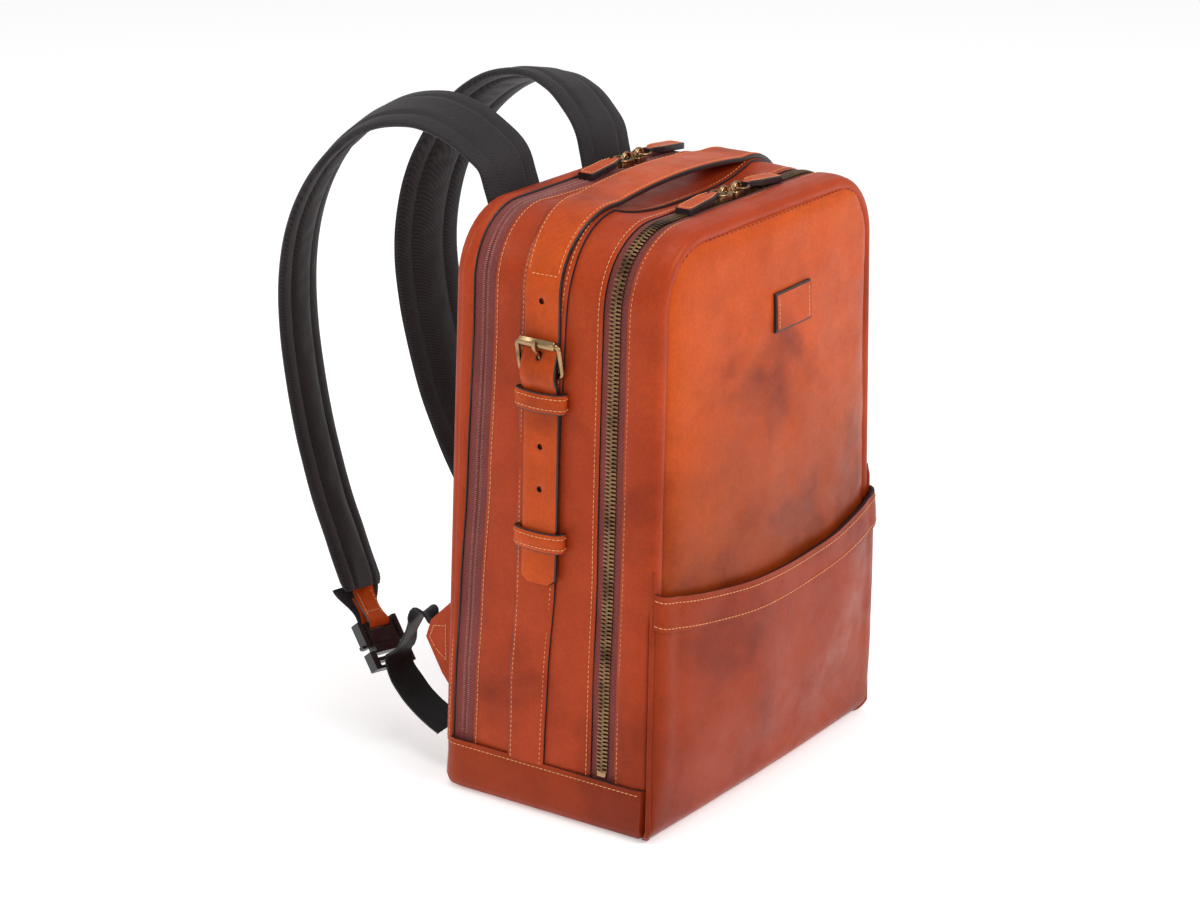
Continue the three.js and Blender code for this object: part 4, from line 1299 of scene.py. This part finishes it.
def make_pull(zip_name, side, sign, hinge):
    body = f"{zip_name}_pull_{side}"
    centre = hinge + Vector((sign * 6.6, 0, 0))
    ring = []
    for turn in turns_of(28):
        ring.append(centre + Vector((6.6 * math.cos(turn), 5.8 * math.sin(turn), 0.6 * math.sin(turn))))
    wire = tube(body + "_ring", ring, 0.95, [BRASS], closed=True, sides=8, across=(0, 0, 1))
    finish_piece(wire, body, "antique_brass")
    rings = []
    for k in range(22):
        x = lerp(PULL_START, PULL_END, k / 21)
        half = lerp(3.6, 7.0, smooth((x - 15) / 10))
        half -= 1.2 * (1 - clamp((PULL_END - x) / 2.0)) ** 2
        droop = pull_droop(x)
        t = lerp(1.7, 2.2, smooth((x - 15) / 10))
        section = [(-half, -t + 0.5), (-half, t - 0.5), (-half + 0.6, t)]
        section += [(lerp(-half + 1.4, half - 1.4, j / 4), t + 0.2) for j in range(5)]
        section += [(half - 0.6, t), (half, t - 0.5), (half, -t + 0.5), (half - 0.6, -t), (-half + 0.6, -t)]
        rings.append([hinge + Vector((sign * x, a, b + droop)) for a, b in section])
    count = len(rings[0])
    painted = (0, 1, 2, *range(count - 6, count - 2), count - 1)
    slots = [1 if j in painted else 0 for j in range(count)]
    tab = loft(body + "_leather", rings, [LEATHER, EDGE], slots)
    recolour_ends(tab, 1)
    finish_piece(tab, body, "dark_leather", body)
    path = []
    marks = [(17, 3.2), (25, 5.2), (48, 5.2), (49.6, 3.6), (49.6, -3.6), (48, -5.2), (25, -5.2), (17, -3.2)]
    for x, y in marks:
        path.append(hinge + Vector((sign * x, y, 2.45 + pull_droop(x))))
    stitch(body + "_stitch", path, [Vector((0, 0, 1))] * len(path), body, pitch=2.9)


# --- Shoulder straps ---

PAD_WAY = [
    (-55.2, 83.6, 393), (-55.9, 86, 408), (-57, 90.2, 424), (-58.2, 95.5, 439.5),
    (-61.5, 107, 451), (-66, 126, 463), (-70, 152, 469), (-73, 188, 461),
    (-75, 224, 435), (-76, 252, 396), (-76, 266, 356), (-76, 270, 319),
    (-77, 267, 281), (-79, 260, 244), (-81, 250, 208), (-84, 236, 172),
    (-87, 220, 140), (-91, 203, 108),
]
PAD_HALF = 30
RIB_HALF = 13
PAD_RIB = 1.5
PAD_SEAM = RIB_HALF + 1.6  # the two seams beside the rib
PAD_HEM = PAD_HALF - 5
PAD_SWELL = 2.2  # the furthest that the padding pushes the cloth
BUCKLE_AT = Vector((-96, 185, 78.5))  # the middle of the socket on the left strap
BUCKLE_DOWN = Vector((-8, -31, -38)).normalized()
BUCKLE_ACROSS = Vector((1, 0, 0.12))
BUCKLE_ACROSS = (BUCKLE_ACROSS - BUCKLE_DOWN * BUCKLE_ACROSS.dot(BUCKLE_DOWN)).normalized()
BUCKLE_FACE = BUCKLE_DOWN.cross(BUCKLE_ACROSS)


def sided(side, point):
    return Vector((point[0] * -SIDES[side], point[1], point[2]))


def pad_section(share):
    """(across, up) points of the pad: hems, flat wings and a raised rib on both faces."""
    end = smooth((1 - share) / 0.012)
    half = PAD_HALF - 3.5 * (1 - end) ** 2
    thick = lerp(1.6, 3.0, end) * lerp(0.6, 1.0, smooth(share / 0.03))
    rib = PAD_RIB * smooth((share - 0.02) / 0.06) * smooth((1 - share) / 0.05)
    upper = []
    for k in range(25):
        a = lerp(-half, half, k / 24)
        edge = math.sqrt(max(1 - (abs(a) / half) ** 10, 0))
        bulge = rib * smooth((RIB_HALF + 3 - abs(a)) / 5)
        groove = -1.3 * math.exp(-(((abs(a) - PAD_SEAM) / 1.3) ** 2))
        hem = -0.5 * math.exp(-(((abs(a) - half + 5) / 1.0) ** 2))
        upper.append((a, 0.25 + (thick + bulge + groove + hem) * edge))
    lower = [(a, -b * 0.9) for a, b in reversed(upper)]
    return upper + lower


def make_pads():
    steps = 150
    for side in SIDES:
        path = spline([sided(side, p) for p in PAD_WAY], steps)
        rings, seams = [], []
        for k, (point, way, across) in enumerate(zip(path, tangents(path), carried(path, (1, 0, 0)))):
            up = way.cross(across)
            ripple = wobble(point.x, point.y, point.z, 30, 0.5)
            section = pad_section(k / steps)
            ring = [point + across * a + up * (b + ripple) for a, b in section]
            at_end = k < 8 or k > steps - 6
            for spot, (a, _) in zip(ring, section):
                if at_end or abs(a) > PAD_HEM or abs(abs(a) - PAD_SEAM) < 1.4:
                    seams.append(spot)
            rings.append(ring)
        piece = loft(f"{side}_pad_fabric", rings, [NYLON], sharp=60)
        swell(piece, seams, PAD_SWELL)
        finish_piece(piece, None, "black_nylon", f"{side}_shoulder_pad", f"{side}_pad_root")
        x = path[0].x * MM
        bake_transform(piece, "back_flap", f"{side}_strap", (x, 0.087, 0.4), (x, 0.118, 0.4))
        make_pad_end(side)


def buckle_spot(side, along, face, across=0.0):
    """A point given in the buckle's own directions: along towards the pad, out of its face, across it."""
    point = BUCKLE_AT - BUCKLE_DOWN * along + BUCKLE_FACE * face + BUCKLE_ACROSS * across
    return sided(side, point)


TAB_WAY = [(35, 3.4), (28, 2.4), (19, 3.0), (12, 4.6), (8.5, 5.3), (6.2, 5.1), (4.5, 3.4), (3.9, 0.0)]
TAB_WAY += [(along, -face) for along, face in reversed(TAB_WAY[:-1])]


def make_pad_end(side):
    """The leather tab doubled through the socket's slot, and the cloth that tapers down behind it."""
    way = spline([(along, face, 0) for along, face in TAB_WAY], 44)
    rings = []
    for point, run in zip(way, tangents(way)):
        half = lerp(9.6, 8.2, smooth((point.x - 6) / 8)) + 1.6 * smooth((point.x - 18) / 12)
        section = [(-half, -0.8), (-half, 0.8), (-half + 0.7, 1.1)]
        section += [(half - 0.7, 1.1), (half, 0.8), (half, -0.8)]
        rings.append([buckle_spot(side, point.x - run.y * b, point.y + run.x * b, a) for a, b in section])
    piece = loft(f"{side}_tab_leather", rings, [LEATHER, EDGE], [1, 1, 0, 1, 1, 0])
    finish_piece(piece, f"{side}_strap", "cognac_leather", f"{side}_strap_tab")
    face = (buckle_spot(side, 0, 1) - buckle_spot(side, 0, 0)).normalized()
    for row, across in (("a", -6.6), ("b", 6.6)):
        path = [buckle_spot(side, lerp(32, 12, k / 8), 4.3 + 0.9 * (k / 8) ** 2, across) for k in range(9)]
        stitch(f"{side}_tab_stitch_{row}", path, [face] * 9, f"{side}_strap", pitch=3.2)
    path = [buckle_spot(side, 16, 4.7, lerp(-6, 6, k / 6)) for k in range(7)]
    stitch(f"{side}_tab_stitch_end", path, [face] * 7, f"{side}_strap", pitch=3.0)
    rings = []
    for k in range(15):
        share = k / 14
        along = lerp(40, 12, share)
        half = lerp(22, 10.5, smooth(share * 1.15))
        thick = lerp(2.6, 1.3, share)
        sink = -2.6 - 2.2 * share
        fold_line = 0.8 * math.sin(share * 9)
        ring = []
        for a in turns_of(20):
            up = sink + (thick + fold_line * abs(math.cos(a))) * math.sin(a)
            ring.append(buckle_spot(side, along, up, half * math.cos(a)))
        rings.append(ring)
    piece = loft(f"{side}_pad_tail", rings, [NYLON], sharp=70)
    finish_piece(piece, f"{side}_strap", "black_nylon")


WEBBING_WAY = [
    (-127, 111, 111.5), (-122.5, 119.5, 116), (-118, 126, 114.5), (-114, 133.5, 107.5),
    (-110, 142.5, 95.5), (-106, 152, 82.5), (-102, 159, 74.5), (-100, 163.5, 69),
    (-100.5, 163, 62.5), (-102, 158, 55.5), (-104.5, 149.5, 49), (-107, 140, 43),
    (-110, 128, 38), (-112.5, 116, 34), (-114, 106, 31),
]
WEBBING_WIDTHS = [(0.0, (0.86, 0.40, -0.30)), (0.36, (0.86, 0.40, -0.30)), (0.55, (0.97, -0.16, -0.07))]
WEBBING_WIDTHS += [(0.68, (0.94, -0.31, 0.10)), (1.0, (0.90, -0.40, 0.20))]


def webbing_width(side, share):
    for (a, first), (b, second) in zip(WEBBING_WIDTHS, WEBBING_WIDTHS[1:]):
        if share <= b:
            return sided(side, Vector(first).lerp(Vector(second), smooth((share - a) / (b - a))))
    return sided(side, WEBBING_WIDTHS[-1][1])


def make_webbing():
    """Flat webbing, gathered where it enters the wing and turned over between the wing and the buckle."""
    for side in SIDES:
        path = spline([sided(side, p) for p in WEBBING_WAY], 80)
        rings = []
        for k, (point, way) in enumerate(zip(path, tangents(path))):
            width = webbing_width(side, k / 80)
            across = (width - way * width.dot(way)).normalized()
            up = way.cross(across)
            half = lerp(4.5, 12.3, smooth(k / 11))
            upper = [(lerp(-half, half, j / 12), 0.7 + 0.14 * math.cos(math.pi * j)) for j in range(13)]
            section = upper + [(a, -b) for a, b in reversed(upper)]
            rings.append([point + across * a + up * b for a, b in section])
        piece = loft(f"{side}_webbing_band", rings, [WEBBING], sharp=60)
        finish_piece(piece, f"{side}_strap", "black_nylon", f"{side}_strap_webbing")


def make_wings():
    """The stitched leather wings that hold the webbing at the foot of the back."""
    outline = [(-3, 62), (11, 79), (25, 104), (20, 118), (9, 128.5), (-3, 140)]
    for side, sign in SIDES.items():
        node = f"{side}_anchor_wing"
        low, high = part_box(node)
        x0, x1, back = low.x / MM, high.x / MM, low.y / MM
        middle = (x0 + x1) / 2
        for layer, *xs in (("a", x0, middle - 0.2), ("b", middle + 0.2, x1)):
            rings = [[Vector((x, back + y, z)) for y, z in outline] for x in xs]
            piece = loft(f"{side}_wing_{layer}", rings, [LEATHER_SHADED, EDGE], [1] * len(outline))
            recolour_ends(piece, 0)
            baked(rounded(piece, 0.5))
            finish_piece(piece, "back_flap", "cognac_leather", *([node] if layer == "a" else []))
        face_x = x0 - 0.2 if sign < 0 else x1 + 0.2
        box = [(17, 98), (21, 105), (17.5, 114), (7, 116), (7, 90), (17, 98)]
        path = []
        for (ya, za), (yb, zb) in zip(box, box[1:]):
            path += [Vector((face_x, back + lerp(ya, yb, k / 4), lerp(za, zb, k / 4))) for k in range(5)]
        stitch(f"{side}_wing_stitch", path, [Vector((sign, 0, 0))] * len(path), "back_flap", pitch=3.0)


def make_yoke():
    low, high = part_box("strap_yoke")
    x0, x1, z0, z1 = low.x / MM, high.x / MM, low.z / MM, high.z / MM

    def spot(u, v, outside):
        x, z = lerp(x0, x1, u), lerp(z0, z1, v)
        rise = smooth((z - z0 - 8) / 40) * smooth((34 - abs(abs(x) - 55.5)) / 6)  # over the pads' tops
        edge = 1 - smooth(min(x - x0, x1 - x, z - z0, 14) / 3)
        height = 3.0 + 8.0 * rise - 0.8 * edge if outside else 0.2 + 8.0 * rise * 0.6
        return Vector((x, lean(89.4, z) + height, z))

    outer, inner = (grid_of(12, 40, spot, outside) for outside in (True, False))
    piece = panel("strap_yoke_leather", outer, inner, [LEATHER_SHADED, EDGE], 1)
    finish_piece(piece, "back_flap", "cognac_leather", "strap_yoke")
    path = [outer[j][1] for j in range(11, 0, -1)] + outer[1][1:40] + [outer[j][39] for j in range(1, 12)]
    path = [p + Vector((0, 0.3, 0)) for p in path]
    stitch("yoke_stitch", path, [Vector((0, 1, 0))] * len(path), "back_flap")


# --- Inside ---


def make_inside():
    for node in ("divider_panel", "front_lining", "back_lining", "base_board"):
        dress(node, LINING)
    low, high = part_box("laptop_sleeve")
    half, z0, z1 = high.x / MM, low.z / MM, high.z / MM

    def spot(u, v, lift):
        x, z = lerp(-half, half, u), lerp(z0, z1, v)
        crown = clamp(1 - (x / half) ** 4) * smooth((z - z0) / 30)
        y = lean(78, z) - 17 * crown + lift
        return Vector((x, y, z - 6 * v**3 * (1 - (x / half) ** 2)))

    outer, inner = (grid_of(24, 32, spot, lift) for lift in (0.0, 3.0))
    piece = panel("sleeve_fabric", outer, inner, [LINING, LEATHER_SHADED], 1)
    finish_piece(piece, "back_flap", "lining_cloth", "laptop_sleeve")


def dress(node, material, bevel=0.0):
    """Gives a CAD node its finish."""
    piece = frame["nodes"][node]
    piece.data.materials.clear()
    piece.data.materials.append(material)
    if bevel:
        rounded(piece, bevel, 3)


def make_quick_buckles():
    for side in SIDES:
        for part in ("buckle_socket", "inner_lever", "outer_lever", "strap_adjuster"):
            dress(f"{side}_{part}", BLACK, 0.9)


# --- Studio ---


FLOOR_HALF = 12.0
FLOOR_GLOW = 0.34
WORLD_LIGHT = 0.55
LIGHTS = [  # (name, place, size, power), in metres and watts
    ("key", (0.2, -2.2, 2.0), 1.3, 38),
    ("left", (-2.4, -0.6, 1.2), 0.9, 8),
    ("top", (-0.3, 0.2, 2.6), 1.4, 18),
    ("rim", (-1.2, 2.2, 1.6), 1.0, 10),
]
LIT = Vector((0, 0, 0.22))  # where the lights point


def aim(thing, way):
    """Points a light or a camera along a direction."""
    thing.rotation_mode = "QUATERNION"
    thing.rotation_quaternion = way.to_track_quat("-Z", "Y")


def make_studio():
    mesh = bpy.data.meshes.new("floor")
    corners = [(x * FLOOR_HALF, y * FLOOR_HALF, 0) for x, y in ((-1, -1), (1, -1), (1, 1), (-1, 1))]
    mesh.from_pydata(corners, [], [(0, 1, 2, 3)])
    floor = bpy.data.objects.new("floor", mesh)
    bpy.context.scene.collection.objects.link(floor)
    shade = Shader("floor_paper", 0.9, Emission_Color=(1, 1, 1, 1), Emission_Strength=FLOOR_GLOW)
    shade.colour(shade.mix(0.02, (0.92, 0.92, 0.92), shade.ramp(shade.noise(3), (0.3, 0.9), (0.7, 1.0))))
    mesh.materials.append(shade.material)
    bpy.context.scene.view_settings.view_transform = "Standard"
    world = bpy.data.worlds.new("studio")
    world.use_nodes = True
    background = world.node_tree.nodes["Background"]
    background.inputs["Color"].default_value = (1, 1, 1, 1)
    background.inputs["Strength"].default_value = WORLD_LIGHT
    bpy.context.scene.world = world
    for name, place, size, power in LIGHTS:
        data = bpy.data.lights.new(name, "AREA")
        data.size = size
        data.energy = power
        lamp = bpy.data.objects.new(name, data)
        lamp.location = place
        aim(lamp, LIT - Vector(place))
        bpy.context.scene.collection.objects.link(lamp)


AZIMUTH = math.radians(-54.96)
ELEVATION = math.radians(18.648)
DISTANCE = 2.26724
TARGET = Vector((-0.0776, 0.0, 0.25008))


def make_camera():
    level = math.cos(ELEVATION)
    back = Vector((math.sin(AZIMUTH) * level, -math.cos(AZIMUTH) * level, math.sin(ELEVATION)))
    data = bpy.data.cameras.new("camera")
    data.lens = 98.71
    data.sensor_width = 36
    camera = bpy.data.objects.new("camera", data)
    camera.location = TARGET + back * DISTANCE
    aim(camera, -back)
    bpy.context.scene.collection.objects.link(camera)
    bpy.context.scene.camera = camera


make_camera()
make_studio()
make_middle_gusset()
make_base_strap()
make_gussets()
make_zips()
make_front_panel()
make_pocket()
make_piping()
make_patch()
make_back_panel()
make_base()
make_handle_strap()
make_keepers()
make_side_buckles()
for zip_name in ("front", "rear"):
    for side in SIDES:
        make_slider(zip_name, side)
make_pads()
make_webbing()
make_wings()
make_yoke()
make_inside()
make_quick_buckles()

bpy.context.view_layer.update()
